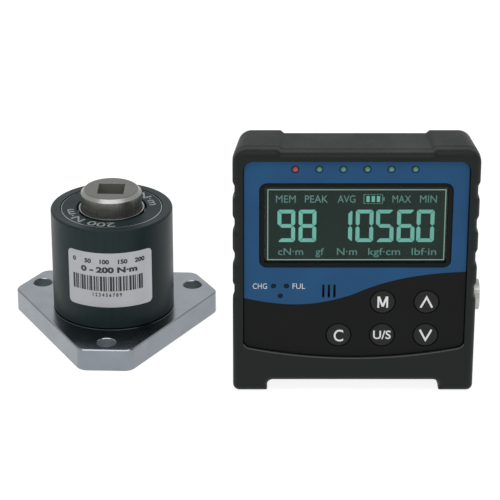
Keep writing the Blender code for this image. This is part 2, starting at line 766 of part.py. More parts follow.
def hollow_fillet(neck, level, side):
    """Concave arc from a face at one level to the neck, starting at the face."""
    points = []
    for step in range(ARC_STEPS):
        angle = math.pi / 2 * step / (ARC_STEPS - 1)
        radius = neck + NECK_FILLET * (1 - math.sin(angle))
        points.append((radius, level + side * NECK_FILLET * (1 - math.cos(angle))))
    return points


def build_gauges(parent, foil):
    """Two double strain gauges, on opposite flats of the neck."""
    middle = (NECK_TOP + FOOT_TOP) / 2
    half = GAUGE_SIZE / 2
    start = NECK_FLAT / 2 + CLEARANCE
    for side, direction in (("left", -1), ("right", 1)):
        faces = sorted((direction * start, direction * (start + GAUGE_THICKNESS)))
        pad = box(faces[0], faces[1], -half, half, middle - half, middle + half)
        put(f"strain_gauge_{side}", pad, foil, parent)


def build_terminal_board(parent, green):
    """Ring board on the shaft's foot."""
    base = FOOT_TOP + CLEARANCE
    outer = FOOT_RADIUS - TERMINAL_INSET
    ring = tube(outer, TERMINAL_OPENING / 2, base, base + TERMINAL_THICKNESS, MEDIUM_ROUND)
    put("terminal_board", ring, green, parent)


def build_shaft_bolts(parent, steel):
    """Socket-head bolts in the flange's underside, each with its key recess."""
    radius = SHAFT_BOLT_DIAMETER / 2
    head = SHAFT_BOLT_HEAD / 2
    profile = [
        (0.0, CLEARANCE),
        (head, CLEARANCE),
        (head, SHAFT_BOLT_HEAD_TOP),
        (radius, SHAFT_BOLT_HEAD_TOP),
        (radius, SHAFT_BOLT_END),
        (0.0, SHAFT_BOLT_END),
    ]
    for number, (x, y) in enumerate(around(SHAFT_BOLT_COUNT, SHAFT_BOLT_CIRCLE), 1):
        bolt = put(f"shaft_bolt_{number}", turned(profile, SMALL_ROUND), steel, parent, (x, y, 0))
        carve(bolt, rod(SHAFT_BOLT_KEY / math.sqrt(3), -SHAFT_BOLT_HEAD_HEIGHT, SHAFT_BOLT_HEAD_TOP / 2, 6))


def build_socket(prefix, parent, matrix, wall, finishes):
    """Round lead socket through a wall whose outer face is at the matrix's origin, axis +Z out."""
    metal, black = finishes
    rim = SOCKET_RIM_DIAMETER / 2
    barrel = SOCKET_BARREL / 2
    bore = SOCKET_BORE / 2
    ease = SOCKET_EDGE_BREAK
    back = -SOCKET_INSIDE
    front = CLEARANCE + SOCKET_RIM_DEPTH
    shell = [
        (bore, back),
        (barrel, back),
        (barrel, CLEARANCE),
        (rim, CLEARANCE),
        (rim, front - ease),
        (rim - ease, front),
        (bore + ease, front),
        (bore, front - ease),
    ]
    put(prefix + "_shell", moved(turned(shell, MEDIUM_ROUND), matrix), metal, parent)
    nut_front = -wall - CLEARANCE
    nut = rod(SOCKET_NUT_ACROSS / math.sqrt(3), nut_front - SOCKET_NUT_THICKNESS, nut_front, 6)
    nut_object = put(prefix + "_nut", moved(nut, matrix), metal, parent)
    hole = rod(barrel + CLEARANCE, -2 * SOCKET_INSIDE, SOCKET_INSIDE, MEDIUM_ROUND)
    carve(nut_object, moved(hole, matrix))
    insert_front = -CLEARANCE
    insert = rod(bore - CLEARANCE, insert_front - SOCKET_INSERT_DEPTH, insert_front, MEDIUM_ROUND)
    insert_object = put(prefix + "_insert", moved(insert, matrix), black, parent)
    pins = bmesh.new()
    for x, y in around(SOCKET_PIN_COUNT, SOCKET_PIN_CIRCLE, math.pi / 4):
        pin = pin_shape(SOCKET_PIN_DIAMETER / 2, back, SOCKET_PIN_REACH)
        joined(pins, moved(pin, matrix @ Matrix.Translation((x, y, 0))))
    fuse(insert_object, pins)


def pin_shape(radius, back, front):
    """Contact pin with a tapered tip."""
    tip = [(radius, front - radius), (radius / 2, front), (0.0, front)]
    return turned([(0.0, back), (radius, back)] + tip, 6)


def build_transducer(parent, finish):
    """All of the transducer's pieces."""
    build_flange(parent, finish["plated steel"])
    build_seal(parent, finish["rubber"])
    build_sleeve(parent, finish["black anodised"])
    build_set_screws(parent, finish["dark steel"])
    build_cap(parent, finish["black anodised"])
    build_spacer(parent, finish["pale ring"])
    build_bearing(parent, finish["bearing steel"])
    build_shaft(parent, finish["brushed steel"])
    build_gauges(parent, finish["gauge foil"])
    build_terminal_board(parent, finish["board green"])
    build_shaft_bolts(parent, finish["dark steel"])
    spot_wall = SLEEVE_RADIUS - SENSOR_SPOT_DEPTH
    nut_corner = SOCKET_NUT_ACROSS / math.sqrt(3)
    inner_wall = math.sqrt(SLEEVE_BORE ** 2 - nut_corner ** 2)
    matrix = towards((0, 1, 0), (0, spot_wall, SENSOR_SOCKET_HEIGHT))
    finishes = (finish["socket metal"], finish["socket black"])
    build_socket("sensor_socket", parent, matrix, spot_wall - inner_wall, finishes)


# Meter

KEY_HOLE = KEY_DIAMETER / 2 + KEY_GAP


def case_corners():
    """Corners of the case seen from the front, anticlockwise from the left foot's outer corner."""
    foot = FOOT_INNER_X
    low_top = CASE_TOP - LUG_STEP
    right = [
        (foot, 0.0, 0.0),
        (HALF_WIDTH, 0.0, FOOT_CORNER_RADIUS),
    ]
    bottom_grip = GRIP_COUNT - 1
    for index in range(bottom_grip, -1, -1):
        middle = GRIP_TOP_Z - index * GRIP_PITCH
        half = GRIP_LENGTH / 2
        inner = HALF_WIDTH - GRIP_DEPTH
        right += [
            (HALF_WIDTH, middle - half, 0.0),
            (inner, middle - half + GRIP_RAMP, 0.0),
            (inner, middle + half - GRIP_RAMP, 0.0),
            (HALF_WIDTH, middle + half, 0.0),
        ]
    right += [
        (HALF_WIDTH, CASE_TOP, TOP_CORNER_RADIUS),
        (LUG_INNER_X + LUG_RAMP, CASE_TOP, 0.0),
        (LUG_INNER_X, low_top, 0.0),
    ]
    left = [(-x, z, radius) for x, z, radius in reversed(right)]
    arch = [(-foot, ARCH_HEIGHT, ARCH_FILLET), (foot, ARCH_HEIGHT, ARCH_FILLET)]
    return right + left + arch


def offset_corners(corners, inset):
    """Move every side of a polygon inwards; outer corners tighten and inner ones ease."""
    count = len(corners)
    result = []
    for index in range(count):
        x, z, radius = corners[index]
        here = Vector((x, z))
        before = (here - Vector(corners[index - 1][:2])).normalized()
        after = (Vector(corners[(index + 1) % count][:2]) - here).normalized()
        inward_before = Vector((-before.y, before.x))
        inward_after = Vector((-after.y, after.x))
        bisector = (inward_before + inward_after).normalized()
        point = here + bisector * (inset / bisector.dot(inward_before))
        turning = before.x * after.y - before.y * after.x
        if radius > 0.0:
            tight = radius * 0.1
            radius = max(radius - inset, tight) if turning > 0 else radius + inset
        result.append((point.x, point.y, radius))
    return result


def case_outline(inset=0.0, squeeze=0.0):
    """The case's outline, inset all round, then squeezed by a share of the moulding draft."""
    outline = rounded(offset_corners(case_corners(), inset), ARC_STEPS - 1)
    narrow = 1 - squeeze * CASE_DRAFT_SIDE / HALF_WIDTH
    lower = 1 - squeeze * CASE_DRAFT_TOP / CASE_TOP
    return [(x * narrow, z * lower) for x, z in outline]


def inner_outline(inset, squeeze=0.0):
    """Plain rounded outline for the inside of the case, clear of grips, lugs and feet."""
    half = (HALF_WIDTH - inset) - squeeze * CASE_DRAFT_SIDE
    bottom = ARCH_HEIGHT + inset
    top = CASE_TOP - LUG_STEP - inset - squeeze * CASE_DRAFT_TOP
    return rounded_box_outline(half, bottom, top, TOP_CORNER_RADIUS - CASE_WALL)


def panel_outline(grow=0.0):
    """Front panel: straight sides, rounded corners and a bowed lower edge."""
    half = PANEL_HALF_WIDTH + grow
    sag = PANEL_END_Z - PANEL_MIDDLE_Z
    chord = PANEL_HALF_WIDTH
    radius = (chord ** 2 + sag ** 2) / (2 * sag)
    centre_z = PANEL_MIDDLE_Z + radius
    reach = math.asin(chord / radius)
    arc = []
    for step in range(1, PANEL_ARC_STEPS):
        angle = -reach + 2 * reach * step / PANEL_ARC_STEPS
        arc.append(((radius + grow) * math.sin(angle), centre_z - (radius + grow) * math.cos(angle), 0.0))
    low = centre_z - math.sqrt((radius + grow) ** 2 - half ** 2)
    corners = [(-half, low, PANEL_CORNER_RADIUS)] + arc + [
        (half, low, PANEL_CORNER_RADIUS),
        (half, PANEL_TOP + grow, PANEL_CORNER_RADIUS + grow),
        (-half, PANEL_TOP + grow, PANEL_CORNER_RADIUS + grow),
    ]
    return rounded(corners)


def window_outline(grow=0.0):
    """Display window's outline."""
    return rounded_box_outline(WINDOW_HALF_WIDTH + grow, WINDOW_BOTTOM - grow, WINDOW_TOP + grow,
                               WINDOW_CORNER_RADIUS + grow)


def slot_outline(x):
    """One upright sounder slot with round ends."""
    half = SLOT_WIDTH / 2
    corners = [(x - half, SLOT_BOTTOM), (x + half, SLOT_BOTTOM), (x + half, SLOT_TOP), (x - half, SLOT_TOP)]
    return rounded([(cx, cz, half * SLOT_END_EASE) for cx, cz in corners], 2)


def lamp_xs():
    """Places of the six lamps along the row."""
    return [LAMP_FIRST_X + index * LAMP_PITCH for index in range(LAMP_COUNT)]


def face_holes(y_front, y_back, sounder):
    """Cutters for the keys, lamps and sounder, shared by the panel and the shell behind it."""
    holes = bmesh.new()
    for _, x, z in KEYS:
        post(x, z, KEY_HOLE, y_front, y_back, MEDIUM_ROUND, holes)
    for x in lamp_xs():
        post(x, LAMP_Z, LAMP_DIAMETER / 2 + CLEARANCE, y_front, y_back, SMALL_ROUND, holes)
    for _, x, z in CHARGE_LAMPS:
        post(x, z, CHARGE_LAMP_DIAMETER / 2 + CLEARANCE, y_front, y_back, SMALL_ROUND, holes)
    if sounder == "slots":
        for x in SLOT_XS:
            plate(slot_outline(x), y_front, y_back, holes)
    else:
        middle = (SLOT_BOTTOM + SLOT_TOP) / 2
        post(SLOT_XS[1], middle, BUZZER_MOUTH / 2, y_front, y_back, SMALL_ROUND, holes)
    return holes


def build_front_shell(parent, black):
    """Front half of the case: rounded front edge, panel recess, seam rebate and bosses."""
    rings = []
    for step in range(ARC_STEPS):
        angle = math.pi / 2 * step / (ARC_STEPS - 1)
        inset = FRONT_EDGE_RADIUS * (1 - math.sin(angle))
        rings.append(plane_ring(case_outline(inset), FRONT_EDGE_RADIUS * (1 - math.cos(angle))))
    rings.append(plane_ring(case_outline(), SEAM_Y))
    shell = put("front_shell", loft(rings), black, parent)
    carve(shell, plate(panel_outline(CLEARANCE), -FRONT_SHELL_DEPTH, RECESS_FLOOR_Y))
    carve(shell, plate(inner_outline(CASE_WALL), FACE_BACK_Y, 2 * BACK_Y))
    rebate = SEAM_Y - SEAM_LIP_HEIGHT - CLEARANCE
    carve(shell, plate(inner_outline(SEAM_LIP_INSET), rebate, 2 * BACK_Y))
    boss_start = RECESS_FLOOR_Y + FACE_WALL / 2
    bosses = bmesh.new()
    for x, z in case_screw_places():
        post(x, z, CASE_BOSS_DIAMETER / 2, boss_start, BOARD_BACK_Y, SMALL_ROUND, bosses)
    for x, z in BOARD_SCREW_PLACES:
        post(x, z, BOARD_BOSS_DIAMETER / 2, boss_start, BOARD_FRONT - CLEARANCE, SMALL_ROUND, bosses)
    fuse(shell, bosses)
    holes = face_holes(0.0, 2 * FACE_BACK_Y, "round")
    inner = DISPLAY_MARGIN
    opening = rounded_box_outline(WINDOW_HALF_WIDTH - inner, WINDOW_BOTTOM + inner, WINDOW_TOP - inner,
                                  WINDOW_CORNER_RADIUS - inner)
    plate(opening, 0.0, 2 * FACE_BACK_Y, holes)
    for x, z in case_screw_places():
        post(x, z, CASE_SCREW_DIAMETER / 2 + CLEARANCE, FACE_BACK_Y, BACK_Y, SMALL_ROUND, holes)
    for x, z in BOARD_SCREW_PLACES:
        post(x, z, BOARD_SCREW_DIAMETER / 2 + CLEARANCE, FACE_BACK_Y, BACK_Y, SMALL_ROUND, holes)
    carve(shell, holes)


def case_screw_places():
    """Places of the four case screws, as (x, z)."""
    return [(side * CASE_SCREW_X, z) for side in (-1, 1) for z in (CASE_SCREW_LOW, CASE_SCREW_HIGH)]


def build_rear_shell(parent, black):
    """Rear half of the case: drafted walls, seam lip, screw bosses, battery cradle and side ports."""
    start = SEAM_Y + CLEARANCE
    depth = REAR_SHELL_DEPTH
    straight = depth - BACK_EDGE_RADIUS
    rings = [
        plane_ring(case_outline(), start),
        plane_ring(case_outline(0.0, straight / depth), start + straight),
    ]
    for step in range(1, ARC_STEPS):
        angle = math.pi / 2 * step / (ARC_STEPS - 1)
        along = straight + BACK_EDGE_RADIUS * math.sin(angle)
        inset = BACK_EDGE_RADIUS * (1 - math.cos(angle))
        rings.append(plane_ring(case_outline(inset, along / depth), start + along))
    shell = put("rear_shell", loft(rings), black, parent)
    lip_front = SEAM_Y - SEAM_LIP_HEIGHT
    fuse(shell, plate(inner_outline(SEAM_LIP_INSET + CLEARANCE), lip_front, start + CASE_WALL))
    cavity = [
        plane_ring(inner_outline(CASE_WALL), 0.0),
        plane_ring(inner_outline(CASE_WALL), start),
        plane_ring(inner_outline(CASE_WALL, 1.0), BACK_WALL_Y),
    ]
    carve(shell, loft(cavity))
    additions = bmesh.new()
    for x, z in case_screw_places():
        post(x, z, CASE_BOSS_DIAMETER / 2, BOARD_BACK_Y + CLEARANCE, BACK_WALL_Y + CASE_WALL / 2,
             SMALL_ROUND, additions)
    cradle_ribs(additions)
    fuse(shell, additions)
    pads = bmesh.new()
    for side, depth in ((1, SIDE_PORT_DEPTH), (-1, JACK_DEPTH)):
        pad = rod(SIDE_PAD_DIAMETER / 2, SIDE_PAD_X - CASE_WALL, SIDE_PAD_X, MEDIUM_ROUND)
        joined(pads, moved(pad, towards((side, 0, 0), (0, depth, SIDE_PORT_Z))))
    fuse(shell, pads)
    spots = bmesh.new()
    for side, depth in ((1, SIDE_PORT_DEPTH), (-1, JACK_DEPTH)):
        spot = rod(SIDE_PAD_DIAMETER / 2, SIDE_PAD_X, CASE_WIDTH, MEDIUM_ROUND)
        joined(spots, moved(spot, towards((side, 0, 0), (0, depth, SIDE_PORT_Z))))
    carve(shell, spots)
    holes = bmesh.new()
    ports = ((1, SOCKET_BARREL / 2, SIDE_PORT_DEPTH), (-1, JACK_DIAMETER / 2, JACK_DEPTH))
    for side, radius, depth in ports:
        hole = rod(radius + CLEARANCE, HALF_WIDTH / 2, CASE_WIDTH, MEDIUM_ROUND)
        joined(holes, moved(hole, towards((side, 0, 0), (0, depth, SIDE_PORT_Z))))
    head_seat = BACK_Y - CASE_SCREW_WELL
    stepped = [
        (0.0, 0.0),
        (CASE_SCREW_DIAMETER / 2 + CLEARANCE, 0.0),
        (CASE_SCREW_DIAMETER / 2 + CLEARANCE, head_seat),
        (CASE_SCREW_HEAD / 2 + CLEARANCE, head_seat),
        (CASE_SCREW_HEAD / 2 + CLEARANCE, 2 * BACK_Y),
        (0.0, 2 * BACK_Y),
    ]
    for x, z in case_screw_places():
        joined(holes, moved(turned(stepped, SMALL_ROUND), post_matrix(x, z)))
    carve(shell, holes)


def cradle_ribs(bm):
    """Four corner ribs on the back wall that hold the battery."""
    half_width = BATTERY_WIDTH / 2 + CLEARANCE
    half_height = BATTERY_HEIGHT / 2 + CLEARANCE
    front = BACK_WALL_Y - CRADLE_HEIGHT
    back = BACK_WALL_Y + CASE_WALL / 2
    for side in (-1, 1):
        edge = sorted((side * half_width, side * (half_width + CRADLE_WALL)))
        for end in (-1, 1):
            level = sorted((BATTERY_Z + end * half_height, BATTERY_Z + end * (half_height - CRADLE_REACH)))
            box(edge[0], edge[1], front, back, level[0], level[1], bm)


def build_panel(parent, blue):
    """Printed panel with openings for the window, keys, lamps and sounder."""
    panel = put("front_panel", plate(panel_outline(), PANEL_RECESS, PANEL_BACK_Y), blue, parent)
    holes = face_holes(0.0, 2 * PANEL_BACK_Y, "slots")
    plate(window_outline(CLEARANCE), 0.0, 2 * PANEL_BACK_Y, holes)
    carve(panel, holes)


def build_display(parent, finish):
    """Window, display glass and backlight, one behind another."""
    front = PANEL_RECESS + WINDOW_SINK
    back = front + WINDOW_THICKNESS
    put("display_window", plate(window_outline(), front, back), finish["clear window"], parent)
    margin = DISPLAY_MARGIN + CLEARANCE
    outline = rounded_box_outline(WINDOW_HALF_WIDTH - margin, WINDOW_BOTTOM + margin, WINDOW_TOP - margin,
                                  WINDOW_CORNER_RADIUS - margin)
    glass_front = back + CLEARANCE
    glass_back = max(glass_front + DISPLAY_GLASS, FACE_BACK_Y + CLEARANCE)
    put("lcd_glass", plate(outline, glass_front, glass_back), finish["display glass"], parent)
    light_front = glass_back + CLEARANCE
    light_back = min(light_front + BACKLIGHT_DEPTH, BOARD_FRONT - CLEARANCE)
    frame = rounded_box_outline(WINDOW_HALF_WIDTH, WINDOW_BOTTOM, WINDOW_TOP, WINDOW_CORNER_RADIUS / 2)
    put("lcd_backlight", plate(frame, light_front, light_back), finish["backlight white"], parent)


def lamp_profile(radius, tip):
    """Domed lamp with a flange behind the shell's face and a stem to the board."""
    flange_front = FACE_BACK_Y + CLEARANCE
    flange_back = flange_front + LAMP_FLANGE_DEPTH
    end = BOARD_FRONT - CLEARANCE
    dome = []
    for step in range(3):
        angle = math.pi / 2 * step / 2
        dome.append((radius * math.sin(angle), tip + radius / 2 * (1 - math.cos(angle))))
    return dome + [
        (radius, flange_front),
        (LAMP_FLANGE / 2, flange_front),
        (LAMP_FLANGE / 2, flange_back),
        (LAMP_STEM / 2, flange_back),
        (LAMP_STEM / 2, end),
        (0.0, end),
    ]


def build_lamps(parent, finish):
    """The row of six lamps, the first red and the rest green, and the three small dark ones."""
    profile = lamp_profile(LAMP_DIAMETER / 2, PANEL_RECESS - LAMP_PROUD)
    for number, x in enumerate(lamp_xs(), 1):
        lens = finish["red lens" if number == 1 else "green lens"]
        put(f"lamp_{number}", moved(turned(profile, SMALL_ROUND), post_matrix(x, LAMP_Z)), lens, parent)
    profile = lamp_profile(CHARGE_LAMP_DIAMETER / 2, PANEL_RECESS)
    for name, x, z in CHARGE_LAMPS:
        put(name, moved(turned(profile, SMALL_ROUND), post_matrix(x, z)), finish["dark lens"], parent)


def build_keys(parent, black):
    """Five keys, each hung from an empty at the middle of its face."""
    radius = KEY_DIAMETER / 2
    front = PANEL_RECESS - KEY_PROUD
    flange_front = FACE_BACK_Y + CLEARANCE - front
    flange_back = flange_front + KEY_FLANGE_DEPTH
    stem_end = BOARD_FRONT - CLEARANCE - SWITCH_HEIGHT + KEY_STEM_ENTRY - front
    flat = radius - KEY_EDGE_RADIUS
    edge = []
    for step in range(ARC_STEPS - 1):
        angle = math.pi / 2 * step / (ARC_STEPS - 2)
        rise = KEY_DOME + KEY_EDGE_RADIUS * (1 - math.cos(angle))
        edge.append((flat + KEY_EDGE_RADIUS * math.sin(angle), rise))
    profile = [(0.0, 0.0)] + edge + [
        (radius, flange_front),
        (KEY_FLANGE / 2, flange_front),
        (KEY_FLANGE / 2, flange_back),
        (KEY_STEM / 2, flange_back),
        (KEY_STEM / 2, stem_end),
        (0.0, stem_end),
    ]
    for name, x, z in KEYS:
        holder = empty(name + "_slide", (x, front, z), parent=parent)
        put(name, moved(turned(profile, MEDIUM_ROUND), towards((0, 1, 0), (0, 0, 0))), black, holder)


def build_switches(parent, grey):
    """Square switches on the board, each bored for its key's stem."""
    half = SWITCH_SIZE / 2
    back = BOARD_FRONT - CLEARANCE
    front = back - SWITCH_HEIGHT
    for name, x, z in KEYS:
        corners = ((x - half, z - half), (x + half, z - half), (x + half, z + half), (x - half, z + half))
        outline = rounded([(cx, cz, SWITCH_CORNER_RADIUS) for cx, cz in corners], 2)
        switch = put(name.replace("button", "switch"), plate(outline, front, back), grey, parent)
        bore_end = front + KEY_STEM_ENTRY + KEY_TRAVEL + SWITCH_BORE_SPARE
        carve(switch, post(x, z, KEY_STEM / 2 + CLEARANCE, front - SWITCH_HEIGHT, bore_end))


def build_board(parent, finish):
    """Main board, the parts on its back, the sounder and the board's screws."""
    outline = rounded_box_outline(BOARD_HALF_WIDTH, BOARD_BOTTOM, BOARD_TOP, BOARD_CORNER_RADIUS, 2)
    board = put("main_board", plate(outline, BOARD_FRONT, BOARD_BACK_Y), finish["board green"], parent)
    holes = bmesh.new()
    for x, z in case_screw_places():
        post(x, z, CASE_BOSS_DIAMETER / 2 + CLEARANCE, 0.0, BACK_Y, SMALL_ROUND, holes)
    for x, z in BOARD_SCREW_PLACES:
        post(x, z, BOARD_SCREW_DIAMETER / 2 + CLEARANCE, 0.0, BACK_Y, SMALL_ROUND, holes)
    carve(board, holes)
    chips = bmesh.new()
    middle = (BOARD_FRONT + BOARD_BACK_Y) / 2
    for x, z, width, height, depth in BOARD_PARTS:
        end = BOARD_BACK_Y + depth
        box(x - width / 2, x + width / 2, middle, end, z - height / 2, z + height / 2, chips)
    fuse(board, chips)
    middle = (SLOT_BOTTOM + SLOT_TOP) / 2
    buzzer = post(SLOT_XS[1], middle, BUZZER_DIAMETER / 2, FACE_BACK_Y + CLEARANCE, BOARD_FRONT - CLEARANCE,
                  MEDIUM_ROUND)
    put("buzzer", buzzer, finish["chip black"], parent)
    head = BOARD_SCREW_HEAD / 2
    shank = BOARD_SCREW_DIAMETER / 2
    under_head = BOARD_BACK_Y + CLEARANCE
    profile = [
        (0.0, under_head - BOARD_SCREW_LENGTH),
        (shank, under_head - BOARD_SCREW_LENGTH),
        (shank, under_head),
        (head, under_head),
        (head, under_head + BOARD_SCREW_HEAD_HEIGHT / 2),
        (head * SCREW_CROWN_SHARE, under_head + BOARD_SCREW_HEAD_HEIGHT),
        (0.0, under_head + BOARD_SCREW_HEAD_HEIGHT),
    ]
    for number, (x, z) in enumerate(BOARD_SCREW_PLACES, 1):
        screw = moved(turned(profile, SMALL_ROUND), post_matrix(x, z))
        put(f"board_screw_{number}", screw, finish["dark steel"], parent)


def build_case_screws(parent, steel):
    """Four screws in the wells of the back."""
    seat = BACK_Y - CASE_SCREW_WELL + CLEARANCE
    head = CASE_SCREW_HEAD / 2
    shank = CASE_SCREW_DIAMETER / 2
    top = seat + CASE_SCREW_HEAD_HEIGHT
    profile = [
        (0.0, seat - CASE_SCREW_LENGTH),
        (shank, seat - CASE_SCREW_LENGTH),
        (shank, seat),
        (head, seat),
        (head, seat + CASE_SCREW_HEAD_HEIGHT / 2),
        (head * SCREW_CROWN_SHARE, top),
        (0.0, top),
    ]
    arm = CASE_SCREW_HEAD / 10
    cross = [(arm, arm), (arm, 3 * arm), (-arm, 3 * arm), (-arm, arm), (-3 * arm, arm), (-3 * arm, -arm),
             (-arm, -arm), (-arm, -3 * arm), (arm, -3 * arm), (arm, -arm), (3 * arm, -arm), (3 * arm, arm)]
    for number, (x, z) in enumerate(case_screw_places(), 1):
        shape = moved(turned(profile, SMALL_ROUND), post_matrix(x, z))
        screw = put(f"case_screw_{number}", shape, steel, parent)
        outline = [(x + dx, z + dz) for dx, dz in cross]
        carve(screw, plate(outline, top - CASE_SCREW_HEAD_HEIGHT / 2, 2 * top))


def build_battery(parent, blue):
    """Flat pack against the back wall, inside its cradle."""
    half = BATTERY_WIDTH / 2
    low = BATTERY_Z - BATTERY_HEIGHT / 2
    back = BACK_WALL_Y - CLEARANCE
    outline = rounded_box_outline(half, low, low + BATTERY_HEIGHT, BATTERY_CORNER_RADIUS, 2)
    put("battery_pack", plate(outline, back - BATTERY_DEPTH, back), blue, parent)


def build_jack(parent, black):
    """Charging jack: round mouth in the left wall, square body inside, and its centre pin."""
    face = SIDE_PAD_X
    inside = HALF_WIDTH - CASE_WALL - CASE_DRAFT_SIDE - CLEARANCE
    matrix = towards((-1, 0, 0), (0, JACK_DEPTH, SIDE_PORT_Z))
    half = JACK_BODY / 2
    end = inside - JACK_LENGTH
    block = box(-half, half, -half, half, end, inside)
    jack = put("charge_jack", moved(block, matrix), black, parent)
    fuse(jack, moved(rod(JACK_DIAMETER / 2, inside - CASE_WALL, face, MEDIUM_ROUND), matrix))
    carve(jack, moved(tube(JACK_BORE / 2, JACK_PIN / 2, end + CASE_WALL, 2 * face, SMALL_ROUND), matrix))


def build_meter(parent, finish):
    """All of the meter's pieces."""
    build_front_shell(parent, finish["case black"])
    build_rear_shell(parent, finish["case black"])
    build_panel(parent, finish["panel blue"])
    build_display(parent, finish)
    build_lamps(parent, finish)
    build_keys(parent, finish["key black"])
    build_switches(parent, finish["switch grey"])
    build_board(parent, finish)
    build_case_screws(parent, finish["dark steel"])
    build_battery(parent, finish["battery wrap"])
    build_jack(parent, finish["socket black"])
    matrix = towards((1, 0, 0), (SIDE_PAD_X, SIDE_PORT_DEPTH, SIDE_PORT_Z))
    finishes = (finish["socket metal"], finish["socket black"])
    wall = SIDE_PAD_X - (HALF_WIDTH - CASE_DRAFT_SIDE - CASE_WALL)
    build_socket("meter_socket", parent, matrix, wall, finishes)


def all_finishes():
    """Every finish of the set, by name."""
    return {
        "plated steel": finish_material("plated steel", (0.52, 0.56, 0.60), 0.22, 1.0),
        "black anodised": finish_material("black anodised", (0.022, 0.032, 0.034), 0.42, 0.3),
        "brushed steel": finish_material("brushed steel", (0.36, 0.35, 0.32), 0.34, 1.0),
        "bearing steel": finish_material("bearing steel", (0.50, 0.50, 0.50), 0.25, 1.0),
        "pale ring": finish_material("pale ring", (0.40, 0.42, 0.42), 0.40, 0.6),
        "dark steel": finish_material("dark steel", (0.10, 0.10, 0.11), 0.38, 0.9),
        "rubber": finish_material("rubber", (0.02, 0.02, 0.02), 0.75),
        "gauge foil": finish_material("gauge foil", (0.62, 0.42, 0.16), 0.45, 0.2),
        "board green": finish_material("board green", (0.03, 0.16, 0.07), 0.45),
        "chip black": finish_material("chip black", (0.03, 0.03, 0.03), 0.55),
        "socket metal": finish_material("socket metal", (0.60, 0.60, 0.60), 0.30, 1.0),
        "socket black": finish_material("socket black", (0.02, 0.02, 0.02), 0.45),
        "case black": finish_material("case black", (0.022, 0.024, 0.024), 0.55),
        "panel blue": finish_material("panel blue", (0.027, 0.085, 0.205), 0.45),
        "clear window": finish_material("clear window", (0.020, 0.024, 0.022), 0.15),
        "display glass": finish_material("display glass", (0.021, 0.030, 0.025), 0.12),
        "backlight white": finish_material("backlight white", (0.70, 0.72, 0.70), 0.50),
        "red lens": finish_material("red lens", (0.58, 0.03, 0.03), 0.25),
        "green lens": finish_material("green lens", (0.10, 0.38, 0.20), 0.25),
        "dark lens": finish_material("dark lens", (0.01, 0.01, 0.01), 0.20),
        "key black": finish_material("key black", (0.035, 0.037, 0.037), 0.50),
        "switch grey": finish_material("switch grey", (0.30, 0.30, 0.30), 0.45),
        "battery wrap": finish_material("battery wrap", (0.05, 0.12, 0.30), 0.40),
    }


def place_on_origin(roots):
    """Move both units so that the set's footprint is centred on the origin, standing on z = 0."""
    bpy.context.view_layer.update()
    graph = bpy.context.evaluated_depsgraph_get()
    low = Vector((math.inf, math.inf, math.inf))
    high = -low
    for thing in bpy.context.scene.objects:
        if thing.type != "MESH" or thing.hide_render:
            continue
        solid = thing.evaluated_get(graph)
        for vertex in solid.data.vertices:
            point = solid.matrix_world @ vertex.co
            low = Vector(map(min, low, point))
            high = Vector(map(max, high, point))
    shift = Vector(((low.x + high.x) / 2, (low.y + high.y) / 2, low.z))
    for root in roots:
        root.location = root.location - shift
    bpy.context.view_layer.update()


def main():
    """Build the whole set."""
    clear_scene()
    finish = all_finishes()
    transducer = empty("transducer", (TRANSDUCER_X, TRANSDUCER_Y, 0.0), TRANSDUCER_TURN)
    meter = empty("meter", (0.0, 0.0, 0.0))
    build_transducer(transducer, finish)
    build_meter(meter, finish)
    place_on_origin((transducer, meter))


main()
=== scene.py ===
"""Torque wrench calibrator: the looks of the transducer and its display meter.

Laid out as a Blender add-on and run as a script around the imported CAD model. Shapes are worked out
in millimetres, in the transducer's own frame (about its axis) or the meter's own frame (about the
middle of its front rim, with the front facing -Y), and are set down in the model's metres.
"""
import math

import bmesh
import bpy
import numpy as np
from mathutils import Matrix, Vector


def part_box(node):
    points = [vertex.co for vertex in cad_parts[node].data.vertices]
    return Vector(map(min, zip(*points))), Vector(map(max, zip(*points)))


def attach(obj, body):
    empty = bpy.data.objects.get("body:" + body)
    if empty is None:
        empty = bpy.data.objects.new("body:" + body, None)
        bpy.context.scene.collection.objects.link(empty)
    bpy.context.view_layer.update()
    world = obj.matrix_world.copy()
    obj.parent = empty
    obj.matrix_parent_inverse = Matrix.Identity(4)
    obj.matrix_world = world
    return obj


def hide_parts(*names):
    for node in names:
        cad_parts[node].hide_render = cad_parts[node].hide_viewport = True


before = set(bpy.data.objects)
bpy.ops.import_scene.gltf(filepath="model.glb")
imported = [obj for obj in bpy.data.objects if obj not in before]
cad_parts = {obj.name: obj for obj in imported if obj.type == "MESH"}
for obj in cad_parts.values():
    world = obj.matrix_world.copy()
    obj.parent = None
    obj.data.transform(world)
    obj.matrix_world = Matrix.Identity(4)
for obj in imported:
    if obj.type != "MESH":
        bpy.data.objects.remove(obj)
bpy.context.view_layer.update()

bl_info = {
    "name": "Torque Wrench Calibrator",
    "version": (1, 0, 0),
    "blender": (4, 5, 0),
    "location": "3D View > Sidebar > Calibrator",
    "description": "Surfaces, finishes, lettering and studio of a torque transducer and its meter",
    "category": "Add Mesh",
}

MM = 0.001

# Directions: up, and from the front of a unit to its back
UP = (0, 0, 1)
INTO = (0, 1, 0)


def box_mm(node):
    """Lowest and highest corner of a CAD node, in millimetres."""
    return tuple(np.array(corner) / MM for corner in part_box(node))


# Frames of the two units: their places are read from the CAD, the transducer's turn from the photo
SLEEVE_LOW, SLEEVE_HIGH = box_mm("body_sleeve")
AXIS = np.array([(SLEEVE_LOW[0] + SLEEVE_HIGH[0]) / 2, (SLEEVE_LOW[1] + SLEEVE_HIGH[1]) / 2, 0.0])
TURN = math.radians(-2.0)
SHELL_LOW, SHELL_HIGH = box_mm("front_shell")
RIM = np.array([(SHELL_LOW[0] + SHELL_HIGH[0]) / 2, SHELL_LOW[1], 0.0])


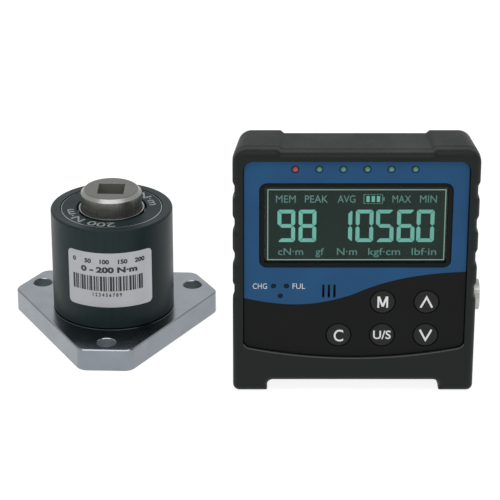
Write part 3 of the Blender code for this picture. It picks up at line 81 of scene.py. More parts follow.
def spot(node):
    """Middle of a CAD node in the meter's own frame, as (x, z)."""
    low, high = box_mm(node)
    middle = (low + high) / 2 - RIM
    return middle[0], middle[2]


# Transducer, millimetres
GAP = 0.3
FLANGE_TOP = 11.5
FLANGE_SIDE = 29.6
FLANGE_REACH = 52.0
FLANGE_CORNER = 6.0
BOLT_CIRCLE = 44.0
BOLT_HOLE = 4.7
SEAT_RADIUS = 30.6
SEAT_TOP = 11.7
SEAT_ROOT = FLANGE_TOP - 0.8
REGISTER_RADIUS = 26.7
REGISTER_TOP = 15.5
SHAFT_BOLT_CIRCLE = 16.5
SHAFT_BOLT_HOLE = 2.8
COUNTERBORE = 4.55
COUNTERBORE_TOP = 5.6
SLEEVE_RADIUS = 30.0
SLEEVE_BORE = 27.0
SLEEVE_BASE = SLEEVE_LOW[2]
SLEEVE_TOP = SLEEVE_HIGH[2]
CAP_RADIUS = 24.9
CAP_OPENING = 17.3
CAP_TOP = SLEEVE_TOP - 0.3
CAP_BASE = CAP_TOP - 2.0
CAP_RECESS = 0.12
CAP_LAND = 0.8
BEARING_TOP = CAP_BASE - GAP
BEARING_SEAT = BEARING_TOP - 7.3
BEARING_RADIUS = 21.0
SOCKET_HEIGHT = 34.0
SOCKET_FACE = 28.6
SOCKET_FACE_RADIUS = 9.0
SOCKET_HOLE = 6.3
SET_SCREW_HEIGHT = 13.5
SET_SCREW_HOLE = 1.8
SET_SCREW_ANGLE = math.radians(35.0)
FOOT_RADIUS = 22.0
FOOT_BASE = 15.8
FOOT_TOP = 22.8
NECK_RADIUS = 9.5
HEAD_RADIUS = 14.95
HEAD_CHAMFER = 1.8
COLLAR_RADIUS = 16.35
COLLAR_TOP = BEARING_SEAT
HEAD_TOP = box_mm("torque_shaft")[1][2]
SQUARE_HALF = 6.4
SQUARE_DEPTH = 20.0

# Meter, millimetres
HALF_WIDTH = 57.0
CASE_TOP = SHELL_HIGH[2]
SEAM = 7.0
BACK = (box_mm("rear_shell")[1] - RIM)[1]
DRAFT_SIDE = 3.0
DRAFT_TOP = 0.8
PANEL_HALF = 51.8
PANEL_TOP = box_mm("front_panel")[1][2]
PANEL_END = 24.1
PANEL_MIDDLE = box_mm("front_panel")[0][2]
PANEL_FRONT = 1.5
PANEL_BACK = 3.0
WINDOW_HALF = 44.4
WINDOW_LOW = box_mm("display_window")[0][2]
WINDOW_HIGH = box_mm("display_window")[1][2]
WINDOW_FRONT = 1.9
WINDOW_BACK = 3.3
STATE_ROW = WINDOW_HIGH - 8.5
UNIT_ROW = WINDOW_LOW + 7.1
BATTERY_SIGN = 7.9
FIELD_FRONT = 3.6
FIELD_BACK = 5.6
LAMPS = [spot(f"lamp_{number}") for number in range(1, 7)]
CHARGE_LAMPS = {name: spot(f"lamp_{name}") for name in ("charging", "full", "power")}
SLOT_XS = (-14.6, -12.0, -9.4)
SLOT_LOW = 49.1
SLOT_HIGH = 56.1
KEYS = {name: spot(f"button_{name}") for name in ("memory", "up", "clear", "unit", "down")}
KEY_RADIUS = 5.7
SCREWS = [spot(f"case_screw_{number}") for number in range(1, 5)]
LAMP_HOLE = 1.8
LAMP_RADIUS = 1.56
CHARGE_HOLE = 1.2
CHARGE_RADIUS = 1.05
KEY_FRONT = 0.8
KEY_DOME = 0.3
KEY_EDGE = 0.7
CLIP_FRONT = 5.6
CLIP_BACK = 6.6
PORT_Z = spot("meter_socket_shell")[1]
PORT_FACE = 56.3
PORT_PAD = 8.6
SOCKET_DEPTH = 17.0
JACK_DEPTH = 18.7
JACK_HOLE = 4.3
ARCH = 5.5
FOOT_INNER = 40.7
LUG_INNER = 36.2
LUG_STEP = 1.5
GRIPS = 4
GRIP_TOP = CASE_TOP - 20.6
GRIP_PITCH = 17.0
GRIP_DEPTH = 0.9

# The edge between the panel's blue and black print, as points (x, z)
WAVE = ((-51.8, 49.1), (-38.0, 46.5), (-25.4, 45.8), (-14.0, 47.2), (-2.6, 50.3), (6.7, 54.3), (18.1, 58.1),
        (34.0, 61.2), (51.8, 62.7))


# Sizes and colours that a user may change


def length(name, description, default, low=0.0, high=200.0):
    """A size in millimetres."""
    return bpy.props.FloatProperty(name=name, description=description, default=default, min=low, max=high)


def colour(name, description, default):
    """A linear colour."""
    return bpy.props.FloatVectorProperty(
        name=name, description=description, default=default, size=3, subtype="COLOR", min=0.0, max=1.0)


class CalibratorSizes(bpy.types.PropertyGroup):
    """Sizes of edges, label and lettering, in millimetres."""

    flange_edge: length("Flange edge", "Width of the flange's bevelled edges", 0.55, 0.1, 2.0)
    body_edge: length("Body edge", "Radius of the body's top rim", 1.0, 0.1, 2.5)
    label_arc: length("Label arc", "Width of the label round the body", 44.0, 10.0, 90.0)
    label_low: length("Label foot", "Height of the label's lower edge", 23.6, 14.0, 60.0)
    label_high: length("Label top", "Height of the label's upper edge", 52.6, 14.0, 60.0)
    label_corner: length("Label corner", "Radius of the label's corners", 2.3, 0.2, 8.0)
    cap_letters: length("Cap letters", "Height of the figures on the cap", 4.7, 1.0, 6.0)
    case_edge: length("Case edge", "Radius of the case's front edge", 3.4, 0.5, 5.0)
    case_back_edge: length("Case back edge", "Radius of the case's back edge", 3.5, 0.5, 5.0)
    panel_lip: length("Panel lip", "Radius of the lip around the panel", 0.5, 0.1, 1.0)
    digit_height: length("Digit height", "Height of the display's digits", 16.4, 4.0, 20.0)
    digit_width: length("Digit width", "Width of the display's digits", 8.2, 2.0, 10.0)
    digit_stroke: length("Digit stroke", "Width of one segment of a digit", 1.85, 0.5, 3.0)


class CalibratorColours(bpy.types.PropertyGroup):
    """Linear colours of the finishes."""

    plating: colour("Plating", "Bright plating of the flange", (0.246, 0.269, 0.297))
    anodised: colour("Anodised black", "Body and cap", (0.0130, 0.0235, 0.0248))
    head_steel: colour("Head steel", "Turned steel of the drive head", (0.158, 0.160, 0.146))
    case_black: colour("Case black", "Moulded case", (0.0080, 0.0112, 0.0100))
    panel_blue: colour("Panel blue", "Upper print of the panel", (0.0155, 0.0690, 0.1620))
    panel_black: colour("Panel black", "Lower print of the panel", (0.0058, 0.0064, 0.0060))
    key_black: colour("Key black", "Key caps", (0.0150, 0.0162, 0.0156))
    legend: colour("Legend", "White print", (0.68, 0.685, 0.68))
    field: colour("Display field", "Unlit display", (0.0115, 0.0230, 0.0185))
    lit: colour("Display light", "Lit segments", (0.147, 0.432, 0.357))
    lamp_red: colour("Red lamp", "First lamp", (0.262, 0.028, 0.036))
    lamp_green: colour("Green lamp", "Other lamps", (0.049, 0.174, 0.141))
    label_silver: colour("Label silver", "Label film", (0.405, 0.420, 0.440))
    floor: colour("Floor", "Studio floor", (0.22, 0.22, 0.22))


class CalibratorStudio(bpy.types.PropertyGroup):
    """Camera and light."""

    lens: bpy.props.FloatProperty(
        name="Lens", description="Focal length for a 36 mm sensor", default=179.1, min=20.0, max=400.0)
    camera_place: bpy.props.FloatVectorProperty(
        name="Camera place", description="Where the camera stands", default=(0.0047, -1.1004, 0.5618),
        size=3, subtype="TRANSLATION", unit="LENGTH")
    camera_pitch: bpy.props.FloatProperty(
        name="Camera pitch", description="Tilt of the camera from straight down",
        default=math.radians(65.0), subtype="ANGLE", unit="ROTATION")
    sky: bpy.props.FloatProperty(
        name="Sky", description="Strength of the even light all round", default=0.72, min=0.0, max=5.0)
    overhead: bpy.props.FloatProperty(
        name="Overhead", description="Power of the overhead soft box", default=6.0, min=0.0, max=500.0,
        unit="POWER")
    behind: bpy.props.FloatProperty(
        name="Behind", description="Power of the soft box behind", default=2.4, min=0.0, max=500.0,
        unit="POWER")
    table_glow: bpy.props.FloatProperty(
        name="Table glow", description="Light that the pale table gives off", default=0.88, min=0.0, max=5.0)


class CalibratorSettings(bpy.types.PropertyGroup):
    """All settings of the set."""

    sizes: bpy.props.PointerProperty(type=CalibratorSizes, name="Sizes", description="Sizes in millimetres")
    colours: bpy.props.PointerProperty(type=CalibratorColours, name="Colours", description="Linear colours")
    studio: bpy.props.PointerProperty(type=CalibratorStudio, name="Studio", description="Camera and light")


def settings():
    """The scene's own settings."""
    return bpy.context.scene.calibrator


# Frames


def on_transducer(points):
    """Turn millimetres about the transducer's axis by its standing angle and move them to metres."""
    x, y, z = np.moveaxis(np.asarray(points, float), -1, 0)
    cosine, sine = math.cos(TURN), math.sin(TURN)
    return (np.stack([x * cosine - y * sine, x * sine + y * cosine, z], -1) + AXIS) * MM


def on_meter(points):
    """Move millimetres about the middle of the meter's front rim to metres."""
    return (np.asarray(points, float) + RIM) * MM


def upright(points, depth):
    """Flat (x, y, z) shapes stood up with y as height and z towards the front, at a depth."""
    x, y, z = np.moveaxis(points, -1, 0)
    return np.stack([x, depth - z, y], -1)


def round_body(points, radius):
    """Flat (x, y, z) shapes wrapped round the body: x is arc length from the front, y height, z outwards."""
    x, y, z = np.moveaxis(points, -1, 0)
    angle = x / radius - math.pi / 2
    return np.stack([(radius + z) * np.cos(angle), (radius + z) * np.sin(angle), y], -1)


def round_cap(points, radius, start, level):
    """Flat shapes laid on a ring, tops outwards: x runs clockwise from the start angle, y is outwards."""
    x, y, z = np.moveaxis(points, -1, 0)
    angle = start - x / radius
    return np.stack([(radius + y) * np.cos(angle), (radius + y) * np.sin(angle), level + z], -1)


# Surfaces


def unit(vectors):
    """Vectors scaled to length one."""
    return vectors / np.linalg.norm(vectors, axis=-1, keepdims=True)


def rounded(corners, steps=6, closed=True):
    """Round a polygon's corners, each given as (x, y, radius).

    Every arc is centre + (a sin((1 - t) w) + b sin(t w)) / sin w for t from 0 to 1, where a and b
    point from the centre to the two tangent points and w is the angle between them.
    """
    corners = np.asarray(corners, float)
    place, radius = corners[:, :2], corners[:, 2:]
    before = unit(np.roll(place, 1, 0) - place)
    after = unit(np.roll(place, -1, 0) - place)
    half = np.arccos(np.clip(np.sum(before * after, 1, keepdims=True), -1, 1)) / 2
    centre = place + unit(before + after) * radius / np.sin(half)
    reach = radius / np.tan(half)
    first = (place + before * reach - centre)[:, None]
    last = (place + after * reach - centre)[:, None]
    sweep = (np.pi - 2 * half)[:, None]
    t = np.linspace(0, 1, steps + 1)[None, :, None]
    arcs = centre[:, None] + (first * np.sin((1 - t) * sweep) + last * np.sin(t * sweep)) / np.sin(sweep)
    if closed:
        return arcs.reshape(-1, 2)
    return np.concatenate([place[:1], arcs[1:-1].reshape(-1, 2), place[-1:]])


def inset_by(corners, inset, least=0.12, most=5.2):
    """Move every side of a polygon inwards along its normal.

    A corner moves along the bisector of its two normals by inset / cos of half their angle. Outer
    radii shrink to the least, and inner radii grow to the most.
    """
    corners = np.asarray(corners, float)
    place, radius = corners[:, :2], corners[:, 2]
    before = unit(place - np.roll(place, 1, 0))
    after = unit(np.roll(place, -1, 0) - place)
    inward_before = np.stack([-before[:, 1], before[:, 0]], -1)
    inward_after = np.stack([-after[:, 1], after[:, 0]], -1)
    bisector = unit(inward_before + inward_after)
    reach = inset / np.sum(bisector * inward_before, 1, keepdims=True)
    outer = before[:, 0] * after[:, 1] - before[:, 1] * after[:, 0] > 0
    eased = np.where(outer, np.maximum(radius - inset, least), np.minimum(radius + inset, most))
    return np.column_stack([place + bisector * reach, eased])


def box_corners(half, low, high, radius):
    """Corners of an upright rounded rectangle centred on x = 0."""
    return [(-half, low, radius), (half, low, radius), (half, high, radius), (-half, high, radius)]


def quarter(radius, steps=6):
    """Inset and rise along a quarter round edge: r (1 - sin a) and r (1 - cos a)."""
    angle = np.linspace(0, np.pi / 2, steps + 1)
    return list(zip(radius * (1 - np.sin(angle)), radius * (1 - np.cos(angle))))


def ring_stack(rings, wrap=False):
    """Surface p(u, v) whose row u is one closed ring and whose column v is a point on it.

    Quads join each ring to the next. The last ring joins the first if wrap is set; otherwise flat
    faces close both ends.
    """
    rings = np.asarray(rings, float)
    rows, columns = rings.shape[:2]
    index = np.arange(rows * columns).reshape(rows, columns)
    low = index if wrap else index[:-1]
    high = np.roll(index, -1, 0) if wrap else index[1:]
    quads = np.stack([low, np.roll(low, -1, 1), np.roll(high, -1, 1), high], -1).reshape(-1, 4)
    faces = quads.tolist()
    if not wrap:
        faces += [index[0].tolist(), index[-1][::-1].tolist()]
    return rings.reshape(-1, 3), faces


def lathe(profile, steps=128, wrap=False):
    """Surface of revolution p(u, v) = (r(u) cos v, r(u) sin v, z(u)) of an (r, z) profile."""
    r, z = np.asarray(profile, float).T
    angle = np.linspace(0, 2 * np.pi, steps, endpoint=False)
    rings = np.stack([r[:, None] * np.cos(angle), r[:, None] * np.sin(angle),
                      np.repeat(z[:, None], steps, 1)], -1)
    return ring_stack(rings, wrap)


def standing(outline, depths):
    """Ring stack of (x, z) outlines, one at each depth y."""
    return ring_stack([np.column_stack([ring[:, 0], np.full(len(ring), y), ring[:, 1]])
                       for ring, y in zip(outline, depths)])


def plate(outline, front, back):
    """Upright plate of one (x, z) outline."""
    return standing((outline, outline), (front, back))


def aimed(shape, direction, place):
    """A shape built along +Z, turned to a direction and moved: p = x side + y across + z axis + place."""
    points, faces = shape
    axis = unit(np.asarray(direction, float))
    side = unit(np.cross((0, 0, 1) if abs(axis[2]) < 0.9 else (1, 0, 0), axis))
    basis = np.stack([side, np.cross(axis, side), axis])
    return points @ basis + np.asarray(place, float), faces


def rod(radius, start, end, direction, place, steps=48):
    """A plain round cutter along a direction."""
    return aimed(lathe([(radius, start), (radius, end)], steps), direction, place)


def merged(shapes):
    """Several shapes as one list of points and faces."""
    shapes = list(shapes)
    starts = np.cumsum([0] + [len(points) for points, _ in shapes])
    faces = [[start + i for i in face]
             for start, (_, group) in zip(starts.tolist(), shapes) for face in group]
    return np.concatenate([points for points, _ in shapes]), faces


def linked(name, data):
    """New object in the scene."""
    made = bpy.data.objects.new(name, data)
    bpy.context.scene.collection.objects.link(made)
    return made


def as_mesh(name, shape, to_metres):
    """Object of a shape, with doubles merged and faces pointing outwards."""
    points, faces = shape
    mesh = bpy.data.meshes.new(name)
    mesh.from_pydata(to_metres(points).tolist(), [], faces)
    cleaned = bmesh.new()
    cleaned.from_mesh(mesh)
    bmesh.ops.remove_doubles(cleaned, verts=cleaned.verts, dist=2e-7)
    bmesh.ops.recalc_face_normals(cleaned, faces=cleaned.faces)
    cleaned.to_mesh(mesh)
    cleaned.free()
    return linked(name, mesh)


def applied(piece):
    """Make a piece's modifiers part of its mesh."""
    graph = bpy.context.evaluated_depsgraph_get()
    mesh = bpy.data.meshes.new_from_object(piece.evaluated_get(graph))
    piece.modifiers.clear()
    piece.data = mesh
    return piece


def combine(piece, shape, to_metres, operation):
    """Cut a shape out of a piece, or join it to the piece, as one closed body."""
    tool = as_mesh(piece.name + "_tool", shape, to_metres)
    step = piece.modifiers.new(operation.title(), "BOOLEAN")
    step.operation = operation
    step.solver = "EXACT"
    step.object = tool
    applied(piece)
    bpy.data.objects.remove(tool, do_unlink=True)
    if not piece.data.polygons:
        raise RuntimeError(f"{piece.name} vanished in a {operation.lower()}")


def cut(piece, shapes, to_metres):
    """Cut several shapes out of a piece."""
    combine(piece, merged(shapes), to_metres, "DIFFERENCE")


def dress(piece, finish, body="calibrator", replaced=(), sharp=32.0):
    """Shade and finish a piece, set it on its body, and hide the CAD nodes it replaces."""
    piece.data.materials.clear()
    piece.data.materials.append(material(finish))
    piece.data.shade_smooth()
    piece.data.set_sharp_from_angle(angle=math.radians(sharp))
    even = piece.modifiers.new("Even normals", "WEIGHTED_NORMAL")
    even.keep_sharp = True
    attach(piece, body)
    if replaced:
        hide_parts(*replaced)
    return piece


# Lettering


def glyphs(body, weight=0.0):
    """Points and faces of flat words from the built-in font, one unit per font size."""
    curve = bpy.data.curves.new("words", "FONT")
    curve.body = body
    curve.offset = weight
    curve.extrude = 0.5
    curve.resolution_u = 4
    holder = linked("words", curve)
    bpy.context.view_layer.update()
    mesh = holder.evaluated_get(bpy.context.evaluated_depsgraph_get()).to_mesh()
    points = np.empty(len(mesh.vertices) * 3)
    mesh.vertices.foreach_get("co", points)
    faces = [list(face.vertices) for face in mesh.polygons]
    bpy.data.objects.remove(holder, do_unlink=True)
    bpy.data.curves.remove(curve)
    return points.reshape(-1, 3), faces


def words(body, cap, width=None, weight=0.0, at=(0.0, 0.0), thick=0.04):
    """Words centred on a place, with capitals cap high, stretched to a width where one is given."""
    tall = np.ptp(glyphs("H", weight)[0][:, 1])
    points, faces = glyphs(body, weight)
    points[:, 0] -= (points[:, 0].max() + points[:, 0].min()) / 2
    stretch = cap / tall if width is None else width / np.ptp(points[:, 0])
    points *= (stretch, cap / tall, thick)
    points += (at[0], at[1] - cap / 2, thick / 2)
    return points, faces


def slab(corners, thick=0.04):
    """Flat (x, y) polygon with a thickness: the same ring at height 0 and at the thickness."""
    corners = np.asarray(corners, float)
    rings = [np.column_stack([corners, np.full(len(corners), level)]) for level in (0.0, thick)]
    return ring_stack(rings)


def bar(x0, x1, y0, y1, thick=0.04):
    """Flat rectangle with a thickness."""
    return slab([(x0, y0), (x1, y0), (x1, y1), (x0, y1)], thick)


def stroke(points, width, thick=0.04):
    """Flat open line of even width with mitred bends: each side is the line moved along its normals."""
    points = np.asarray(points, float)
    along = unit(np.diff(points, axis=0))
    normal = np.stack([-along[:, 1], along[:, 0]], -1)
    joint = unit(np.concatenate([normal[:1], normal[:-1] + normal[1:], normal[-1:]]))
    nearest = np.concatenate([normal[:1], normal])
    reach = width / 2 / np.sum(joint * nearest, 1, keepdims=True)
    return slab(np.concatenate([points - joint * reach, (points + joint * reach)[::-1]]), thick)


# Which of the seven segments (top, upper right, lower right, foot, lower left, upper left, middle)
# each digit lights
SEGMENTS = {
    "0": (1, 1, 1, 1, 1, 1, 0),
    "1": (0, 1, 1, 0, 0, 0, 0),
    "2": (1, 1, 0, 1, 1, 0, 1),
    "3": (1, 1, 1, 1, 0, 0, 1),
    "4": (0, 1, 1, 0, 0, 1, 1),
    "5": (1, 0, 1, 1, 0, 1, 1),
    "6": (1, 0, 1, 1, 1, 1, 1),
    "7": (1, 1, 1, 0, 0, 0, 0),
    "8": (1, 1, 1, 1, 1, 1, 1),
    "9": (1, 1, 1, 1, 0, 1, 1),
}


def digit(figure, x, z, width, height, line, slack=0.14):
    """Seven-segment figure centred on a place: bars that meet in mitres, a slack apart, with blunt corners.

    Three bars are drawn, the top one, the upper right one and the middle one. The others are these
    mirrored across the middle.
    """
    w, h, blunt = width / 2, height / 2, 0.4 * line
    upper = [(w - blunt - slack, h), (w - blunt / 2 - slack, h - blunt / 2), (w - line - slack, h - line)]
    upper += [(-right, level) for right, level in reversed(upper)]
    side = [(w, h - blunt - slack), (w - blunt / 2, h - blunt / 2 - slack), (w - line, h - line - slack),
            (w - line, line / 2 + slack), (w - line / 2, slack), (w, line / 2 + slack)]
    tip = w - line / 2 - slack
    middle = [(tip, 0.0), (tip - line / 2, line / 2), (line / 2 - tip, line / 2), (-tip, 0.0),
              (line / 2 - tip, -line / 2), (tip - line / 2, -line / 2)]
    bars = ((upper, 1, 1), (side, 1, 1), (side, 1, -1), (upper, 1, -1), (side, -1, -1), (side, -1, 1),
            (middle, 1, 1))
    return [slab(np.array(outline) * (flip_x, flip_y) + (x, z))
            for (outline, flip_x, flip_y), lit in zip(bars, SEGMENTS[figure]) if lit]


# Shader building


class Graph:
    """Places and links the nodes of one tree."""

    def __init__(self, tree):
        self.tree = tree
        self.count = 0

    def put(self, kind, inputs=None, **choices):
        """Add a node, set its choices, and link or fill its inputs."""
        node = self.tree.nodes.new(kind)
        node.location = (200 * (self.count % 10) - 2200, 260 * (self.count // 10))
        self.count += 1
        for name, value in choices.items():
            setattr(node, name, value)
        for key, value in (inputs or {}).items():
            self.fill(node.inputs[key], value)
        return node

    def fill(self, socket, value):
        """Link a socket to another, or set its value."""
        if isinstance(value, bpy.types.NodeSocket):
            self.tree.links.new(value, socket)
        else:
            socket.default_value = value

    def math(self, operation, first, second=0.0, third=0.0):
        """One arithmetic step."""
        return self.put("ShaderNodeMath", {0: first, 1: second, 2: third}, operation=operation).outputs[0]

    def plus(self, first, second):
        """Sum of two values."""
        return self.math("ADD", first, second)

    def times(self, first, second):
        """Product of two values."""
        return self.math("MULTIPLY", first, second)

    def vector(self, operation, first, second):
        """One vector step."""
        return self.put("ShaderNodeVectorMath", {0: first, 1: second}, operation=operation).outputs[0]

    def split(self, vector):
        """The three parts of a vector."""
        return self.put("ShaderNodeSeparateXYZ", {0: vector}).outputs

    def join(self, x=0.0, y=0.0, z=0.0):
        """A vector of three parts."""
        return self.put("ShaderNodeCombineXYZ", {0: x, 1: y, 2: z}).outputs[0]

    def between(self, value, low, high, start=0.0, end=1.0, soft=False):
        """Map a value from one range to another, held at both ends."""
        ends = {"Value": value, "From Min": low, "From Max": high, "To Min": start, "To Max": end}
        return self.put("ShaderNodeMapRange", ends, clamp=True,
                        interpolation_type="SMOOTHSTEP" if soft else "LINEAR").outputs[0]

    def vary(self, noise, start, end):
        """Map a noise to a range, from the stretch where nearly all of its values lie."""
        return self.between(noise, 0.3, 0.7, start, end)

    def painted(self, tint):
        """A colour with its fourth part, where it isn't a socket already."""
        return tint if isinstance(tint, bpy.types.NodeSocket) else (*tint, 1.0)

    def mix(self, share, first, second):
        """Blend two colours."""
        return self.put("ShaderNodeMix", {0: share, 6: self.painted(first), 7: self.painted(second)},
                        data_type="RGBA").outputs[2]

    def shade(self, tint, factor):
        """A colour made lighter or darker by a factor that varies over the surface."""
        return self.put("ShaderNodeMix", {0: 1.0, 6: self.painted(tint), 7: factor},
                        data_type="RGBA", blend_type="MULTIPLY").outputs[2]

    def noise(self, vector, scale, detail=2.0, rough=0.5, twist=0.0):
        """Fractal noise, about 0.5 in the middle."""
        return self.put("ShaderNodeTexNoise", {"Vector": vector, "Scale": scale, "Detail": detail,
                                               "Roughness": rough, "Distortion": twist}).outputs[0]

    def bump(self, height, distance, strength):
        """A normal from a height, whose full range stands for a distance in millimetres."""
        return self.put("ShaderNodeBump", {"Height": height, "Distance": distance * MM,
                                           "Strength": strength}).outputs[0]

    def upward(self):
        """How far the surface faces up, from -1 to 1."""
        return self.split(self.put("ShaderNodeNewGeometry").outputs["Normal"])[2]

    def group(self, tree, inputs):
        """Place a shared group."""
        return self.put("ShaderNodeGroup", inputs, node_tree=tree).outputs


def shared_group(name, inputs, build):
    """A node group, built once.

    Inputs are names with defaults, None for a vector, and the build function gives the outputs.
    """
    tree = bpy.data.node_groups.get(name)
    if tree:
        return tree
    tree = bpy.data.node_groups.new(name, "ShaderNodeTree")

    def add_socket(label, side, is_vector):
        kind = "NodeSocketVector" if is_vector else "NodeSocketFloat"
        return tree.interface.new_socket(name=label, in_out=side, socket_type=kind)

    for label, default in inputs.items():
        socket = add_socket(label, "INPUT", default is None)
        if default is not None:
            socket.default_value = default
    graph = Graph(tree)
    results = build(graph, graph.put("NodeGroupInput").outputs)
    for label, value in results.items():
        add_socket(label, "OUTPUT", value.type == "VECTOR")
    graph.put("NodeGroupOutput", results)
    return tree


def place_group():
    """Object coordinates in millimetres about a centre, with distance and angle round the upright axis."""
    def build(graph, given):
        metres = graph.put("ShaderNodeTexCoord").outputs["Object"]
        scaled = graph.put("ShaderNodeVectorMath", {0: metres, "Scale": 1 / MM}, operation="SCALE").outputs[0]
        place = graph.vector("SUBTRACT", scaled, given["Centre"])
        x, y, z = graph.split(place)
        flat = graph.math("SQRT", graph.plus(graph.times(x, x), graph.times(y, y)))
        return {"Place": place, "Radius": flat, "Angle": graph.math("ARCTAN2", y, x), "Height": z}

    return shared_group("Place in millimetres", {"Centre": None}, build)


def grain_group():
    """Spark-eroded moulding grain: small rounded cells broken up by finer noise, and slow shade drift."""
    def build(graph, given):
        scale = graph.math("DIVIDE", 1.0, given["Grain Size"])
        cells = graph.put("ShaderNodeTexVoronoi", {"Vector": given["Place"], "Scale": scale},
                          feature="SMOOTH_F1").outputs["Distance"]
        fine = graph.noise(given["Place"], graph.times(scale, 1.7), 3.0, 0.6)
        drift = graph.noise(given["Place"], 0.035, 2.0)
        uneven = graph.plus(drift, graph.times(fine, 0.5))
        return {
            "Height": graph.plus(graph.times(cells, 0.6), graph.times(fine, 0.7)),
            "Shade": graph.between(uneven, 0.45, 1.05, 0.86, 1.14),
            "Drift": drift,
        }

    return shared_group("Moulded grain", {"Place": None, "Grain Size": 0.35}, build)


def turned_group():
    """Marks of turning: fine lines across the height, rings across the radius and streaks along the wall."""
    def build(graph, given):
        lines = graph.noise(graph.join(0.0, 0.0, given["Height"]), given["Lines"], 4.0, 0.65)
        rings = graph.noise(graph.join(given["Radius"], 7.0, 3.0), given["Lines"], 4.0, 0.65)
        round_x, round_y = (graph.times(graph.math(wave, given["Angle"]), given["Streaks"])
                            for wave in ("COSINE", "SINE"))
        along = graph.times(given["Height"], 0.03)
        streaks = graph.noise(graph.join(round_x, round_y, along), 1.0, 3.0, 0.7)
        return {"Lines": lines, "Rings": rings, "Streaks": streaks}

    return shared_group("Turned marks", {"Radius": 0.0, "Angle": 0.0, "Height": 0.0, "Lines": 3.0,
                                         "Streaks": 12.0}, build)


def handling_group():
    """Traces of handling: broad smears that change the gloss, and a speckled mask on upward faces for thin
    dust, which the case also uses for painted top light.
    """
    def build(graph, given):
        smear = graph.noise(given["Place"], graph.math("DIVIDE", 1.0, given["Size"]), 3.0, 0.55, 0.6)
        specks = graph.noise(given["Place"], 0.9, 4.0, 0.7)
        dust_and_top_light = graph.times(graph.between(graph.upward(), 0.55, 0.95), graph.between(specks, 0.45, 0.75))
        return {"Smear": graph.between(smear, 0.35, 0.7, soft=True), "Dust": dust_and_top_light}

    return shared_group("Handling", {"Place": None, "Size": 18.0}, build)


def plain_shader(name, roughness=0.5, metallic=0.0, specular=0.5, **constants):
    """A new material, its graph and its Principled shader with the constant values set on it."""
    made = bpy.data.materials.new(name)
    made.use_nodes = True
    shader = made.node_tree.nodes["Principled BSDF"]
    constants.update(roughness=roughness, metallic=metallic)
    for label, value in constants.items():
        shader.inputs[label.replace("_", " ").title()].default_value = value
    shader.inputs["Specular IOR Level"].default_value = specular
    return made, Graph(made.node_tree), shader


def placed(graph, centre=(0.0, 0.0, 0.0)):
    """Coordinates of a surface about a centre, in millimetres."""
    return graph.group(place_group(), {"Centre": tuple(centre)})


def drive(graph, shader, **links):
    """Link values that vary over the surface to the shader."""
    for label, value in links.items():
        graph.fill(shader.inputs[label.replace("_", " ").title()], value)


# Finishes


def moulded(name, base, roughness, grain=0.35, depth=0.02, specular=0.30, dust_and_top_light=0.0):
    """Moulded plastic with a fine eroded grain; with dust asked for, its upward faces get thin dust in a
    light blue-grey tint that also stands as painted top light, and its lip under the panel is rubbed glossy
    and given a painted highlight.
    """
    made, graph, shader = plain_shader(name, roughness, specular=specular)
    place = placed(graph)["Place"]
    texture = graph.group(grain_group(), {"Place": place, "Grain Size": grain})
    traces = graph.group(handling_group(), {"Place": place, "Size": 22.0})
    tint = graph.shade(base, texture["Shade"])
    rough = graph.plus(graph.vary(texture["Drift"], roughness - 0.04, roughness + 0.05),
                       graph.times(traces["Smear"], -0.05))
    # Thin dust on upward faces; its light blue-grey tint also stands as painted light on the tops
    if dust_and_top_light:
        tint = graph.mix(graph.times(traces["Dust"], dust_and_top_light), tint, (0.10, 0.18, 0.18))
        # Lip under the panel: lower roughness where it is rubbed, and a lighter tint that is a painted
        # highlight
        lip_polish_and_highlight = graph.put("ShaderNodeAttribute", attribute_name="lip_polish_and_highlight").outputs["Fac"]
        tint = graph.mix(lip_polish_and_highlight, tint, (0.060, 0.066, 0.064))
        rough = graph.plus(rough, graph.times(lip_polish_and_highlight, -0.15))
    drive(graph, shader, base_color=tint, roughness=rough, normal=graph.bump(texture["Height"], depth, 0.8))
    return made


def turned_metal(name, base, roughness, metallic=1.0, lines=4.0, streaks=14.0, depth=0.006, vary=0.12,
                 specular=0.5):
    """Turned metal about the transducer's axis: lines on walls, rings on faces.

    Gives the material, its graph and shader, the coordinates and the tint, for finishes that go on.
    """
    made, graph, shader = plain_shader(name, roughness, metallic, specular)
    here = placed(graph, AXIS)
    marks = graph.group(turned_group(), {"Radius": here["Radius"], "Angle": here["Angle"],
                                         "Height": here["Height"], "Lines": lines, "Streaks": streaks})
    traces = graph.group(handling_group(), {"Place": here["Place"], "Size": 14.0})
    face = graph.between(graph.math("ABSOLUTE", graph.upward()), 0.4, 0.8)

    def blend(on_wall, on_face):
        return graph.put("ShaderNodeMix", {0: face, 2: on_wall, 3: on_face}).outputs[0]

    height = blend(marks["Lines"], marks["Rings"])
    tint = graph.shade(base, blend(graph.vary(marks["Streaks"], 1 - vary, 1 + vary),
                                   graph.vary(marks["Rings"], 1 - vary / 2, 1 + vary / 2)))
    rough = graph.plus(graph.vary(height, roughness - 0.05, roughness + 0.06),
                       graph.times(traces["Smear"], 0.05))
    drive(graph, shader, base_color=tint, roughness=rough, normal=graph.bump(height, depth, 0.7))
    return made, graph, shader, here, tint


